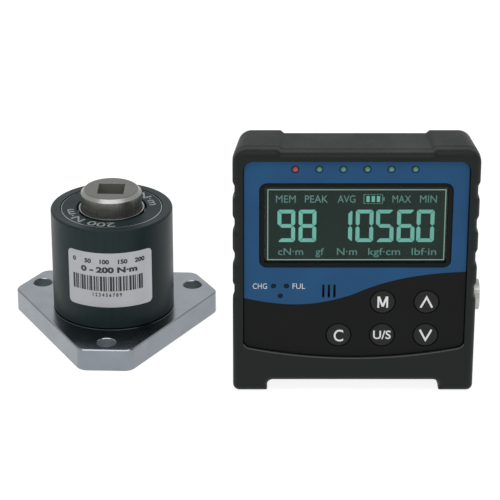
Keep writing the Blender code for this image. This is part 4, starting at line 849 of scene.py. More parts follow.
def plating_finish():
    """Bright plating over ground steel: soft waviness, faint grinding lines, smears and duller bolt holes.

    The walls of the holes are found without a map: they lie below the top, inside the circle round
    all three, and where cos 3a is near 1, with the angle a counted from a hole.
    """
    made, graph, shader = plain_shader("bright plating", 0.2, 1.0)
    here = placed(graph, AXIS)
    waves = graph.noise(here["Place"], 0.09, 2.0, 0.5)
    lines = graph.noise(graph.vector("MULTIPLY", here["Place"], (0.25, 0.25, 3.0)), 1.4, 4.0, 0.65)
    traces = graph.group(handling_group(), {"Place": here["Place"], "Size": 16.0})
    tint = graph.shade(settings().colours.plating, graph.vary(waves, 0.93, 1.06))
    rough = graph.plus(graph.vary(lines, 0.19, 0.23), graph.times(traces["Smear"], 0.06))
    height = graph.plus(waves, graph.times(lines, 0.02))
    toward = graph.math("COSINE", graph.math("MULTIPLY_ADD", here["Angle"], 3.0, 1.5 * math.pi - 3 * TURN))
    bore = graph.times(graph.between(toward, 0.925, 0.935),
                       graph.between(here["Height"], FLANGE_TOP - 0.5, FLANGE_TOP - 0.3, 1.0, 0.0))
    rim = BOLT_CIRCLE + BOLT_HOLE
    bore = graph.times(bore, graph.between(here["Radius"], rim + 0.2, rim + 0.5, 1.0, 0.0))
    drive(graph, shader, base_color=tint, roughness=rough, normal=graph.bump(height, 0.03, 0.6),
          metallic=graph.between(bore, 0.0, 1.0, 1.0, 0.35))
    return made


def cap_finish():
    """Anodised cap with a bare bright line turned round its outer edge."""
    made, graph, shader, here, tint = turned_metal(
        "cap anodised", [1.3 * part for part in settings().colours.anodised], 0.40, metallic=0.0,
        lines=5.0, depth=0.008, specular=0.08)
    edge = graph.times(graph.between(here["Radius"], CAP_RADIUS - 0.42, CAP_RADIUS - 0.36),
                       graph.between(here["Height"], CAP_TOP - 0.45, CAP_TOP - 0.40))
    drive(graph, shader, base_color=graph.mix(edge, tint, (0.44, 0.46, 0.47)), metallic=edge)
    return made


def head_finish():
    """Turned steel, with a painted highlight on its chamfer, painted shade on its top face and a duller
    broached square.
    """
    made, graph, shader, here, tint = turned_metal(
        "head steel", settings().colours.head_steel, 0.25, lines=5.0, streaks=34.0, depth=0.008, vary=0.36)
    radius, height = here["Radius"], here["Height"]
    inside = graph.times(graph.between(radius, SQUARE_HALF * 1.5, SQUARE_HALF * 1.55, 1.0, 0.0),
                         graph.between(height, HEAD_TOP - 0.4, HEAD_TOP - 0.1, 1.0, 0.0))
    rim, foot = HEAD_RADIUS - HEAD_CHAMFER, HEAD_TOP - HEAD_CHAMFER
    # Painted highlight: a lighter tone on the chamfer
    chamfer_highlight = graph.times(graph.between(radius, rim + 0.1, rim + 0.3),
                        graph.between(height, foot - 0.1, foot + 0.2))
    # Painted shade: the top face's colour darkened to 0.7
    top = graph.between(height, HEAD_TOP - 0.12, HEAD_TOP - 0.08, 1.0, 0.70)
    tone_with_painted_light = graph.mix(chamfer_highlight, graph.shade(tint, top), (0.30, 0.30, 0.285))
    drive(graph, shader, base_color=graph.mix(inside, tone_with_painted_light, (0.19, 0.19, 0.165)),
          metallic=graph.between(inside, 0.0, 1.0, 0.74, 0.2))
    return made


def panel_finish():
    """Printed film: blue over black along a wave, with a fine satin grain."""
    made, graph, shader = plain_shader("printed panel", 0.42, specular=0.10)
    place = placed(graph, RIM)["Place"]
    x, _, z = graph.split(place)
    curve = graph.put("ShaderNodeFloatCurve", {"Value": graph.between(x, -PANEL_HALF, PANEL_HALF)})
    low, high = 30.0, 70.0
    first, *middle, last = [((side + PANEL_HALF) / (2 * PANEL_HALF), (level - low) / (high - low))
                            for side, level in WAVE]
    line = curve.mapping.curves[0]
    line.points[0].location, line.points[1].location = first, last
    for point in middle:
        line.points.new(*point)
    curve.mapping.update()
    border = graph.math("MULTIPLY_ADD", curve.outputs[0], high - low, low)
    blue = graph.between(graph.math("SUBTRACT", z, border), -0.06, 0.06)
    tones = settings().colours
    texture = graph.group(grain_group(), {"Place": place, "Grain Size": 0.22})
    traces = graph.group(handling_group(), {"Place": place, "Size": 26.0})
    tint = graph.mix(blue, tones.panel_black, tones.panel_blue)
    drive(graph, shader, base_color=graph.shade(tint, texture["Shade"]),
          roughness=graph.between(traces["Smear"], 0.0, 1.0, 0.40, 0.47),
          normal=graph.bump(texture["Height"], 0.005, 0.7))
    return made


def film_finish():
    """Brushed silver label film, with a painted sheen that makes it a little lighter towards its right."""
    made, graph, shader = plain_shader("label film", 0.42, 0.12, 0.3)
    place = placed(graph, AXIS)["Place"]
    brushed = graph.noise(graph.vector("MULTIPLY", place, (0.6, 0.6, 8.0)), 1.2, 4.0, 0.7)
    drift = graph.vary(graph.noise(place, 0.06, 2.0), 0.94, 1.05)
    aside = graph.split(place)[0]
    # Painted sheen: the film is made lighter towards its right, against the shade on that side
    painted_sheen = graph.times(graph.between(aside, -20.0, 4.0, 0.97, 1.08),
                        graph.between(aside, 4.0, 20.0, 1.0, 1.28))
    shade = graph.times(graph.vary(brushed, 0.95, 1.05), graph.times(drift, painted_sheen))
    drive(graph, shader, base_color=graph.shade(settings().colours.label_silver, shade),
          roughness=graph.vary(brushed, 0.36, 0.46), normal=graph.bump(brushed, 0.004, 0.6))
    return made


def ink_finish(name, base, roughness=0.5, speckle=0.06):
    """Printing ink, slightly uneven in strength."""
    made, graph, shader = plain_shader(name, roughness, specular=0.4)
    uneven = graph.noise(placed(graph)["Place"], 2.5, 3.0, 0.6)
    drive(graph, shader, base_color=graph.shade(base, graph.vary(uneven, 1 - speckle, 1.0)),
          roughness=graph.vary(uneven, roughness - 0.05, roughness + 0.08))
    return made


def field_finish():
    """Unlit liquid-crystal field: a fine square cell pattern and an uneven faint glow."""
    made, graph, shader = plain_shader("display field", specular=0.1, emission_strength=1.0,
                                       base_color=(0.004, 0.006, 0.005, 1.0))
    place = placed(graph, RIM)["Place"]
    x, _, z = graph.split(place)
    pitch = 0.5
    lines = [graph.math("SINE", graph.times(side, 2 * math.pi / pitch)) for side in (x, z)]
    cells = graph.between(graph.math("MAXIMUM", *lines), 0.90, 1.0, 1.0, 0.9)
    glow = graph.vary(graph.noise(place, 0.03, 1.0), 0.9, 1.12)
    drive(graph, shader, emission_color=graph.shade(settings().colours.field, graph.times(cells, glow)))
    return made


def lit_finish(name, strength, tint=None):
    """A lit part of the display, slightly uneven in strength."""
    made, graph, shader = plain_shader(name, 0.4, specular=0.1, emission_strength=strength,
                                       base_color=(0.01, 0.02, 0.016, 1.0))
    drift = graph.vary(graph.noise(placed(graph, RIM)["Place"], 0.05, 2.0), 0.92, 1.05)
    drive(graph, shader, emission_color=graph.shade(tint or settings().colours.lit, drift))
    return made


def lens_finish(name, base, glow):
    """Tinted lamp lens with a faint light inside, brightest near its middle; the same falloff in its colour
    is a painted highlight, with painted shade towards its rim.

    The row's lamps share one pattern, which repeats at their pitch.
    """
    made, graph, shader = plain_shader(name, 0.16, specular=0.3, coat_weight=0.4, coat_roughness=0.05,
                                       emission_strength=glow)
    place = placed(graph, RIM)["Place"]
    cloud = graph.noise(place, 1.1, 3.0, 0.6)
    x, _, z = graph.split(place)
    pitch = LAMPS[1][0] - LAMPS[0][0]
    aside = graph.math("WRAP", graph.math("SUBTRACT", x, LAMPS[0][0] + 0.15), pitch / 2, -pitch / 2)
    above = graph.math("SUBTRACT", z, LAMPS[0][1] + 0.1)
    off = graph.math("SQRT", graph.plus(graph.times(aside, aside), graph.times(above, above)))
    # Lamp glow and painted highlight: brightest slightly right of and above each lamp's middle, falling to a
    # dark rim, in colour as well as light
    glow_and_painted_highlight = graph.times(graph.between(off, 0.25, 1.45, 1.42, 0.24), graph.vary(cloud, 0.9, 1.1))
    tint = graph.shade(base, glow_and_painted_highlight)
    drive(graph, shader, base_color=tint, emission_color=tint, roughness=graph.vary(cloud, 0.12, 0.24))
    return made


def window_finish():
    """Clear, bloomed window that hardly shows but for a faint smear."""
    made, graph, shader = plain_shader("clear window", 0.12, specular=0.2,
                                       base_color=(0.02, 0.022, 0.022, 1.0))
    smear = graph.group(handling_group(), {"Place": placed(graph, RIM)["Place"], "Size": 30.0})["Smear"]
    drive(graph, shader, roughness=graph.between(smear, 0.0, 1.0, 0.10, 0.22),
          alpha=graph.between(smear, 0.0, 1.0, 0.03, 0.05))
    return made


def floor_finish():
    """Plain pale light table."""
    made, graph, shader = plain_shader("studio floor", 0.75, specular=0.1,
                                       emission_strength=settings().studio.table_glow,
                                       emission_color=(1.0, 1.0, 1.0, 1.0))
    place = graph.put("ShaderNodeTexCoord").outputs["Object"]
    drift = graph.vary(graph.noise(place, 1.5, 2.0), 0.985, 1.0)
    drive(graph, shader, base_color=graph.shade(settings().colours.floor, drift))
    return made


def board_finish():
    """Green solder mask over copper tracks."""
    made, graph, shader = plain_shader("circuit board", 0.4)
    place = placed(graph)["Place"]
    tracks = graph.put("ShaderNodeTexBrick", {"Vector": place, "Scale": 0.35, "Mortar Size": 0.06,
                                              "Color1": (0, 0, 0, 1), "Color2": (0.1, 0.1, 0.1, 1),
                                              "Mortar": (1, 1, 1, 1)}).outputs["Color"]
    tint = graph.mix(graph.times(tracks, 0.8), (0.012, 0.085, 0.034), (0.035, 0.19, 0.07))
    drive(graph, shader, base_color=tint, roughness=graph.vary(graph.noise(place, 0.5), 0.32, 0.5),
          normal=graph.bump(tracks, 0.03, 0.6))
    return made


def foil_finish():
    """Strain gauge film: a fine folded metal grid on amber backing."""
    made, graph, shader = plain_shader("gauge foil", 0.35)
    _, y, z = graph.split(placed(graph, AXIS)["Place"])
    pitch = 0.5
    fold = graph.math("SINE", graph.times(graph.plus(y, z), 2 * math.pi / pitch))
    grid = graph.between(fold, -0.1, 0.1)
    drive(graph, shader, base_color=graph.mix(grid, (0.55, 0.34, 0.10), (0.62, 0.60, 0.56)), metallic=grid)
    return made


def wrap_finish():
    """Shrink wrap of the battery pack, with faint wrinkles."""
    made, graph, shader = plain_shader("battery wrap", 0.3, coat_weight=0.3)
    stretched = graph.vector("MULTIPLY", placed(graph, RIM)["Place"], (0.3, 1.0, 1.6))
    wrinkle = graph.noise(stretched, 0.5, 4.0, 0.6, 0.8)
    drive(graph, shader, base_color=graph.shade((0.03, 0.09, 0.26), graph.vary(wrinkle, 0.8, 1.1)),
          roughness=graph.vary(wrinkle, 0.25, 0.4), normal=graph.bump(wrinkle, 0.15, 0.5))
    return made


FINISHES = {
    "plating": plating_finish,
    "anodised": lambda: turned_metal("body anodised", settings().colours.anodised, 0.36, metallic=0.0,
                                     lines=2.5, depth=0.003, vary=0.10, specular=0.13)[0],
    "cap": cap_finish,
    "head": head_finish,
    "spacer": lambda: turned_metal("spacer ring", (0.26, 0.27, 0.268), 0.34, lines=6.0)[0],
    "bearing": lambda: turned_metal("bearing steel", (0.15, 0.15, 0.155), 0.30, lines=6.0, depth=0.002)[0],
    "screw": lambda: turned_metal("blackened screw", (0.09, 0.09, 0.095), 0.38, lines=5.0)[0],
    "nickel": lambda: turned_metal("satin nickel", (0.46, 0.455, 0.44), 0.40, lines=5.0, streaks=30.0)[0],
    "case": lambda: moulded("case plastic", settings().colours.case_black, 0.50, 0.38, 0.022, 0.16, 0.12),
    "key": lambda: moulded("key plastic", settings().colours.key_black, 0.46, 0.28, 0.010, 0.14),
    "socket": lambda: moulded("socket insert", (0.014, 0.014, 0.015), 0.45, 0.3, 0.01),
    "switch": lambda: moulded("switch body", (0.25, 0.25, 0.25), 0.45, 0.4, 0.01),
    "chip": lambda: moulded("chip body", (0.025, 0.025, 0.026), 0.5, 0.25, 0.01),
    "rubber": lambda: moulded("seal rubber", (0.018, 0.018, 0.018), 0.75, 0.2, 0.02),
    "backlight": lambda: moulded("backlight frame", (0.66, 0.68, 0.66), 0.5, 0.5, 0.01),
    "border": lambda: moulded("window border", (0.0052, 0.0056, 0.0060), 0.45, 0.2, 0.001, 0.1),
    "panel": panel_finish,
    "film": film_finish,
    "black ink": lambda: ink_finish("black ink", (0.020, 0.021, 0.022), 0.45),
    "white ink": lambda: ink_finish("white ink", settings().colours.legend),
    "cap ink": lambda: ink_finish("cap figures", (0.28, 0.305, 0.30), speckle=0.2),
    "field": field_finish,
    "lit": lambda: lit_finish("lit digits", 1.0),
    "dim": lambda: lit_finish("lit words", 0.62, (0.169, 0.372, 0.332)),
    "frame line": lambda: lit_finish("lit frame", 0.80, (0.30, 0.46, 0.38)),
    "window": window_finish,
    "red lens": lambda: lens_finish("red lens", settings().colours.lamp_red, 0.25),
    "green lens": lambda: lens_finish("green lens", settings().colours.lamp_green, 0.10),
    "dark lens": lambda: moulded("smoked lens", (0.006, 0.013, 0.017), 0.42, 0.3, 0.002, 0.10),
    "board": board_finish,
    "foil": foil_finish,
    "wrap": wrap_finish,
    "floor": floor_finish,
}
MADE = {}


def material(name):
    """The material of a finish, made the first time it is asked for."""
    if name not in MADE:
        MADE[name] = FINISHES[name]()
    return MADE[name]


# Transducer pieces


def level_ring(outline, level):
    """Flat (x, y) outline laid at a height."""
    return np.column_stack([outline, np.full(len(outline), level)])


def flange_corners():
    """Six corners of three long sides and three blunt ends, seen from above.

    Each is reach (cos a, sin a) plus or minus half the end's width (-sin a, cos a), for three
    directions a a third of a turn apart.
    """
    half_end = (2 * FLANGE_SIDE - FLANGE_REACH) * math.sqrt(3)
    angle = np.repeat(np.radians([-90.0, 30.0, 150.0]), 2)
    side = np.tile([-half_end, half_end], 3)
    x = FLANGE_REACH * np.cos(angle) - side * np.sin(angle)
    y = FLANGE_REACH * np.sin(angle) + side * np.cos(angle)
    return np.column_stack([x, y, np.full(6, FLANGE_CORNER)])


def flange_rings(edge):
    """Outlines from the underside to the top: a bevel with softened corners at each end of the wall."""
    soft = 0.12 * edge
    inner = edge + 0.6
    low = [(edge, 0.0), (edge - soft, soft / 2), (soft / 2, edge - soft), (0.0, edge)]
    high = [(inset, FLANGE_TOP - rise) for inset, rise in reversed(low)]
    levels = [(inner, 0.0)] + low + high + [(inner, FLANGE_TOP)]
    return [level_ring(rounded(inset_by(flange_corners(), inset), 8), level) for inset, level in levels]


def around(count, radius, start):
    """Places (r cos a, r sin a) equally spaced on a circle."""
    angles = [start + 2 * math.pi * i / count for i in range(count)]
    return [(radius * math.cos(angle), radius * math.sin(angle)) for angle in angles]


def bored(profile, places, steps):
    """Upright turned cutters of one profile at several places."""
    return [aimed(lathe(profile, steps), UP, (x, y, 0)) for x, y in places]


class CalibratorFlange(bpy.types.Operator):
    """Plated three-cornered flange with its bolt holes, body seat and register"""

    bl_idname = "calibrator.flange"
    bl_label = "Flange"

    def execute(self, context):
        piece = as_mesh("flange_plate", ring_stack(flange_rings(settings().sizes.flange_edge)), on_transducer)
        register = [(SEAT_RADIUS, SEAT_ROOT), (SEAT_RADIUS, SEAT_TOP), (REGISTER_RADIUS, SEAT_TOP),
                    (REGISTER_RADIUS, REGISTER_TOP)]
        combine(piece, lathe(register), on_transducer, "UNION")
        chamfer, beyond = 0.3, 1.0
        mouth = BOLT_HOLE + chamfer
        bore = [(mouth + beyond, -beyond), (mouth, 0.0), (BOLT_HOLE, chamfer),
                (BOLT_HOLE, FLANGE_TOP - chamfer), (mouth, FLANGE_TOP), (mouth + beyond, FLANGE_TOP + beyond)]
        counterbore = [(COUNTERBORE, -beyond), (COUNTERBORE, COUNTERBORE_TOP),
                       (SHAFT_BOLT_HOLE, COUNTERBORE_TOP), (SHAFT_BOLT_HOLE, REGISTER_TOP + 4.5)]
        holes = bored(bore, around(3, BOLT_CIRCLE, -math.pi / 2), 72)
        holes += bored(counterbore, around(4, SHAFT_BOLT_CIRCLE, 0.0), 40)
        cut(piece, holes, on_transducer)
        dress(piece, "plating", replaced=["flange_base"])
        return {"FINISHED"}


class CalibratorBody(bpy.types.Operator):
    """Black body tube, cap ring with its figures, and the spacer ring"""

    bl_idname = "calibrator.body"
    bl_label = "Body, cap and spacer"

    def execute(self, context):
        sizes = settings().sizes
        seat = BEARING_RADIUS + GAP
        ledge = seat - 1.2
        recess = CAP_RADIUS + GAP
        profile = rounded([
            (SLEEVE_BORE, SLEEVE_BASE, 0.1), (SLEEVE_RADIUS, SLEEVE_BASE, 0.35),
            (SLEEVE_RADIUS, SLEEVE_TOP, sizes.body_edge), (recess, SLEEVE_TOP, 0.2),
            (recess, BEARING_TOP, 0.1), (seat, BEARING_TOP, 0.1), (seat, BEARING_SEAT, 0.1),
            (ledge, BEARING_SEAT, 0.1), (ledge, BEARING_SEAT - 1.9, 0.1),
            (SLEEVE_BORE, BEARING_SEAT - 6.5, 0.3),
        ], 8)
        tube = as_mesh("body_tube", lathe(profile, 192, wrap=True), on_transducer)
        middle, outside = (0, 0, SOCKET_HEIGHT), 2 * SLEEVE_RADIUS
        cut(tube, [rod(SOCKET_FACE_RADIUS, SOCKET_FACE, outside, INTO, middle, 96)], on_transducer)
        inside = SLEEVE_BORE - 3.0
        holes = [rod(SOCKET_HOLE, inside - 11.0, outside, INTO, middle, 64)]
        for angle in (math.pi / 2 - SET_SCREW_ANGLE, math.pi / 2 + SET_SCREW_ANGLE):
            outward = (math.cos(angle), math.sin(angle), 0)
            holes.append(rod(SET_SCREW_HOLE, inside, outside, outward, (0, 0, SET_SCREW_HEIGHT), 32))
        cut(tube, holes, on_transducer)
        dress(tube, "anodised", replaced=["body_sleeve"])

        outer, inner = CAP_RADIUS - CAP_LAND, CAP_OPENING + CAP_LAND
        groove = CAP_TOP - CAP_RECESS
        cap = rounded([
            (CAP_OPENING, CAP_BASE, 0.1), (CAP_RADIUS, CAP_BASE, 0.1), (CAP_RADIUS, CAP_TOP, 0.30),
            (outer + 0.1, CAP_TOP, 0.08), (outer, groove, 0.05), (inner + 0.1, groove, 0.08),
            (inner, CAP_TOP, 0.08), (CAP_OPENING, CAP_TOP, 0.25),
        ], 6)
        ring = as_mesh("cap_ring", lathe(cap, 192, wrap=True), on_transducer)
        dress(ring, "cap", replaced=["top_cap"])

        shapes = []
        land, span = (outer + inner + 0.1) / 2, 33.5
        for start in (-81.3, 98.7):
            points, faces = words("200 N·m", sizes.cap_letters, span, 0.012, (16.4, 0.0), 0.03)
            shapes.append((round_cap(points, land, math.radians(start), groove), faces))
        dress(as_mesh("cap_figures", merged(shapes), on_transducer), "cap ink")

        bore, rim, low = HEAD_RADIUS + GAP, HEAD_RADIUS + 1.2, BEARING_TOP + GAP
        spacer = rounded([(bore, low, 0.1), (rim, low, 0.1), (rim, SLEEVE_TOP, 0.2),
                          (bore, SLEEVE_TOP, 0.15)], 4)
        band = as_mesh("spacer_band", lathe(spacer, 128, wrap=True), on_transducer)
        dress(band, "spacer", replaced=["spacer_ring"])
        return {"FINISHED"}


def film_grid(half, low, height, corner, offset, columns=61, lift=0.05):
    """Grid p(u, v) of the label: u runs across its arc and v up the wall, a lift off the body.

    At a height less than the corner's radius c from either end, the half width w shrinks to
    w - c + sqrt(c^2 - (c - rise)^2).
    """
    ease = corner * (1 - np.cos(np.linspace(0, np.pi / 2, 9)))
    rise = np.concatenate([ease, np.linspace(corner, height - corner, 12)[1:-1], height - ease[::-1]])
    into = np.clip(np.minimum(rise, height - rise), 0, corner)
    wide = half - corner + np.sqrt(corner ** 2 - (corner - into) ** 2)
    grid = np.stack([wide[:, None] * np.linspace(-1, 1, columns) + offset,
                     np.repeat(rise[:, None] + low, columns, 1), np.full((len(rise), columns), lift)], -1)
    index = np.arange(len(rise) * columns).reshape(-1, columns)
    quads = np.stack([index[:-1, :-1], index[:-1, 1:], index[1:, 1:], index[1:, :-1]], -1)
    return grid.reshape(-1, 3), quads.reshape(-1, 4).tolist()


def bar_pattern(count, left, span, low, high):
    """An even bar pattern that is no code: its widths take four plain steps in turn, and its gaps three."""
    number = np.arange(count)
    widths = 0.34 + 0.30 * ((number * 7 + 3) % 4)
    gaps = 0.34 + 0.22 * ((number * 5 + 1) % 3)
    starts = np.cumsum(widths + gaps) - widths - gaps
    scale = span / (starts[-1] + widths[-1])
    return [bar(left + start, left + start + width, low, high)
            for start, width in zip(starts * scale, widths * scale)]


class CalibratorLabel(bpy.types.Operator):
    """Silver label round the body with a plain range, a bar pattern and plain figures"""

    bl_idname = "calibrator.label"
    bl_label = "Range label"

    def execute(self, context):
        sizes = settings().sizes
        offset, thickness = 1.05, 0.09
        height = sizes.label_high - sizes.label_low
        points, faces = film_grid(sizes.label_arc / 2, sizes.label_low, height, sizes.label_corner, offset)
        film = as_mesh("range_label", (round_body(points, SLEEVE_RADIUS), faces), on_transducer)
        wall = film.modifiers.new("Film", "SOLIDIFY")
        wall.thickness = thickness * MM
        wall.offset = 1.0
        applied(film)
        dress(film, "film")

        middle = sizes.label_low + height / 2
        shapes = [
            words("0     50    100    150    200", 2.4, 37.0, 0.045, (offset - 0.6, middle + 10.1)),
            words("0 - 200 N·m", 3.1, 28.4, 0.050, (offset - 0.3, middle + 5.8)),
            words("1 2 3 4 5 6 7 8 9", 1.9, 14.4, 0.030, (offset - 1.4, middle - 7.7)),
        ]
        shapes += bar_pattern(30, offset - 19.2, 35.9, middle - 5.8, middle + 2.1)
        points, faces = merged(shapes)
        ink = as_mesh("range_label_print", (round_body(points, SLEEVE_RADIUS + 0.15), faces), on_transducer)
        dress(ink, "black ink")
        return {"FINISHED"}


class CalibratorDriveHead(bpy.types.Operator):
    """Turned steel shaft: chamfered drive head with its square, collar, neck and foot"""

    bl_idname = "calibrator.drive_head"
    bl_label = "Drive head"

    def execute(self, context):
        core = 0.4
        slope, wall = 1.4, 2.8
        under = COLLAR_TOP - wall - slope
        profile = rounded([
            (core, FOOT_BASE, 0.1), (FOOT_RADIUS, FOOT_BASE, 0.4), (FOOT_RADIUS, FOOT_TOP, 0.4),
            (NECK_RADIUS, FOOT_TOP, 3.0), (NECK_RADIUS, under, 3.0), (HEAD_RADIUS, under, 0.3),
            (COLLAR_RADIUS, COLLAR_TOP - wall, 0.2), (COLLAR_RADIUS, COLLAR_TOP, 0.3),
            (HEAD_RADIUS, COLLAR_TOP, 0.2), (HEAD_RADIUS, HEAD_TOP - HEAD_CHAMFER, 0.35),
            (HEAD_RADIUS - HEAD_CHAMFER, HEAD_TOP, 0.35), (core, HEAD_TOP, 0.1),
        ], 6, closed=False)
        piece = as_mesh("drive_shaft", lathe(profile, 192), on_transducer)
        lip, beyond = 0.15, 2.0
        rings = []
        for grow, level in ((0.0, HEAD_TOP - SQUARE_DEPTH), (0.0, HEAD_TOP - lip), (lip, HEAD_TOP),
                            (lip + beyond, HEAD_TOP + beyond)):
            half = SQUARE_HALF + grow
            rings.append(level_ring(rounded(box_corners(half, -half, half, 0.55 + grow), 5), level))
        cut(piece, [ring_stack(rings)], on_transducer)
        thread = [(SHAFT_BOLT_HOLE, 10.0), (SHAFT_BOLT_HOLE, FOOT_TOP - 2.2)]
        cut(piece, bored(thread, around(4, SHAFT_BOLT_CIRCLE, 0.0), 32), on_transducer)
        dress(piece, "head", replaced=["torque_shaft"])
        return {"FINISHED"}


def socket_rim(name, direction, place, to_metres, node):
    """Lead socket's shell: a flanged tube whose rim has 36 notches, where cos 36a is below -0.2."""
    bore, barrel, rim, length_out, notch_depth = 5.3, 6.0, 7.3, 3.3, 0.09
    profile = rounded([(bore, -8.5, 0.1), (barrel, -8.5, 0.2), (barrel, GAP, 0.1), (rim, GAP, 0.25),
                       (rim, length_out, 0.45), (bore, length_out, 0.5)], 6)
    points, faces = lathe(profile, 144, wrap=True)
    radius = np.hypot(points[:, 0], points[:, 1])
    angle = np.arctan2(points[:, 1], points[:, 0])
    on_rim = (radius > rim - 0.1) & (np.abs(points[:, 2] - 1.7) < 1.6)
    notch = notch_depth * (np.cos(angle * 36) < -0.2) * on_rim
    points[:, :2] *= (1 - notch / radius)[:, None]
    piece = as_mesh(name, aimed((points, faces), direction, place), to_metres)
    dress(piece, "nickel", replaced=[node])


class CalibratorSockets(bpy.types.Operator):
    """Round lead sockets of both units"""

    bl_idname = "calibrator.sockets"
    bl_label = "Lead sockets"

    def execute(self, context):
        socket_rim("sensor_socket_rim", INTO, (0, SOCKET_FACE, SOCKET_HEIGHT), on_transducer,
                   "sensor_socket_shell")
        socket_rim("meter_socket_rim", (1, 0, 0), (PORT_FACE, SOCKET_DEPTH, PORT_Z), on_meter,
                   "meter_socket_shell")
        return {"FINISHED"}


# Meter pieces


def case_corners():
    """The case seen from the front, anticlockwise from the right foot's inner corner."""
    right = [(FOOT_INNER, 0.0, 0.6), (HALF_WIDTH, 0.0, 3.0)]
    for middle in GRIP_TOP - GRIP_PITCH * np.arange(GRIPS)[::-1]:
        right += [(HALF_WIDTH, middle - 4.4, 3.0), (HALF_WIDTH - GRIP_DEPTH, middle - 2.6, 2.2),
                  (HALF_WIDTH - GRIP_DEPTH, middle + 2.6, 2.2), (HALF_WIDTH, middle + 4.4, 3.0)]
    right += [(HALF_WIDTH, CASE_TOP, 6.5), (LUG_INNER, CASE_TOP, 1.6),
              (LUG_INNER - 1.6, CASE_TOP - LUG_STEP, 1.0)]
    left = [(-x, z, radius) for x, z, radius in reversed(right)]
    return np.array(right + left + [(-FOOT_INNER, ARCH, 2.8), (FOOT_INNER, ARCH, 2.8)])


def case_outline(inset=0.0, squeeze=0.0):
    """Rounded case outline, inset all round, and narrowed by a share of the moulding draft."""
    outline = rounded(inset_by(case_corners(), inset), 8)
    return outline * (1 - squeeze * DRAFT_SIDE / HALF_WIDTH, 1 - squeeze * DRAFT_TOP / CASE_TOP)


def panel_outline(grow=0.0):
    """Panel with rounded corners, grown all round.

    Its lower edge is an arc of one circle, z = centre - sqrt(r^2 - x^2), with straight stretches
    under the two lower corners.
    """
    sag = PANEL_END - PANEL_MIDDLE
    radius = (PANEL_HALF ** 2 + sag ** 2) / (2 * sag)
    half = PANEL_HALF + grow
    bend, top_bend, straight = 3.4 + grow, 4.4 + grow, 6.0
    side, top, steps = half - straight, PANEL_TOP + grow, 8

    def foot(x):
        return PANEL_MIDDLE + radius - math.sqrt((radius + grow) ** 2 - x ** 2)

    ends = rounded([(-half, foot(half), bend), (-side, foot(side), 0.1), (side, foot(side), 0.1),
                    (half, foot(half), bend), (half, top, top_bend), (-half, top, top_bend)], steps)
    corner = steps + 1
    arc = [(x, foot(x)) for x in np.linspace(-side, side, 29)]
    return np.concatenate([ends[:corner], arc, ends[3 * corner:]])


def window_outline(grow=0.0):
    """Display window's outline."""
    return rounded(box_corners(WINDOW_HALF + grow, WINDOW_LOW - grow, WINDOW_HIGH + grow, 3.4 + grow), 8)


def window_inset(margin, bend, steps, aside=0.0):
    """Rounded rectangle a margin inside the window, and a little further in at its sides."""
    corners = box_corners(WINDOW_HALF - margin - aside, WINDOW_LOW + margin, WINDOW_HIGH - margin, bend)
    return rounded(corners, steps)


def slot_outline(x):
    """One upright sounder slot with round ends."""
    half, ease = 0.55, 0.54
    return rounded(box_corners(half, SLOT_LOW, SLOT_HIGH, ease), 5) + (x, 0.0)


def face_holes(front, back, slots=True, ease=0.0):
    """Cutters for the keys, the lamps and the sounder's slots, or one round opening for the slots.

    Ease widens the mouths of the round holes at the panel's face.
    """
    def hole(x, z, radius, steps):
        wide = radius + ease
        mouth = [(wide + 1.0, front), (wide, PANEL_FRONT - 0.01), (radius, PANEL_FRONT + ease)]
        profile = mouth if ease else [(radius, front)]
        return aimed(lathe(profile + [(radius, back)], steps), INTO, (x, 0, z))

    rows = ((KEYS.values(), KEY_RADIUS + 0.35, 72), (LAMPS, LAMP_HOLE, 40),
            (CHARGE_LAMPS.values(), CHARGE_HOLE, 32))
    shapes = [hole(x, z, radius, steps) for places, radius, steps in rows for x, z in places]
    if slots:
        return shapes + [plate(slot_outline(x), front, back) for x in SLOT_XS]
    return shapes + [rod(4.0, front, back, INTO, (SLOT_XS[1], 0, (SLOT_LOW + SLOT_HIGH) / 2))]


def layered(name, levels, outline):
    """Meter piece whose outlines follow (inset, depth) levels."""
    shape = standing([outline(*level) for level in levels], [depth for _, depth in levels])
    return as_mesh(name, shape, on_meter)


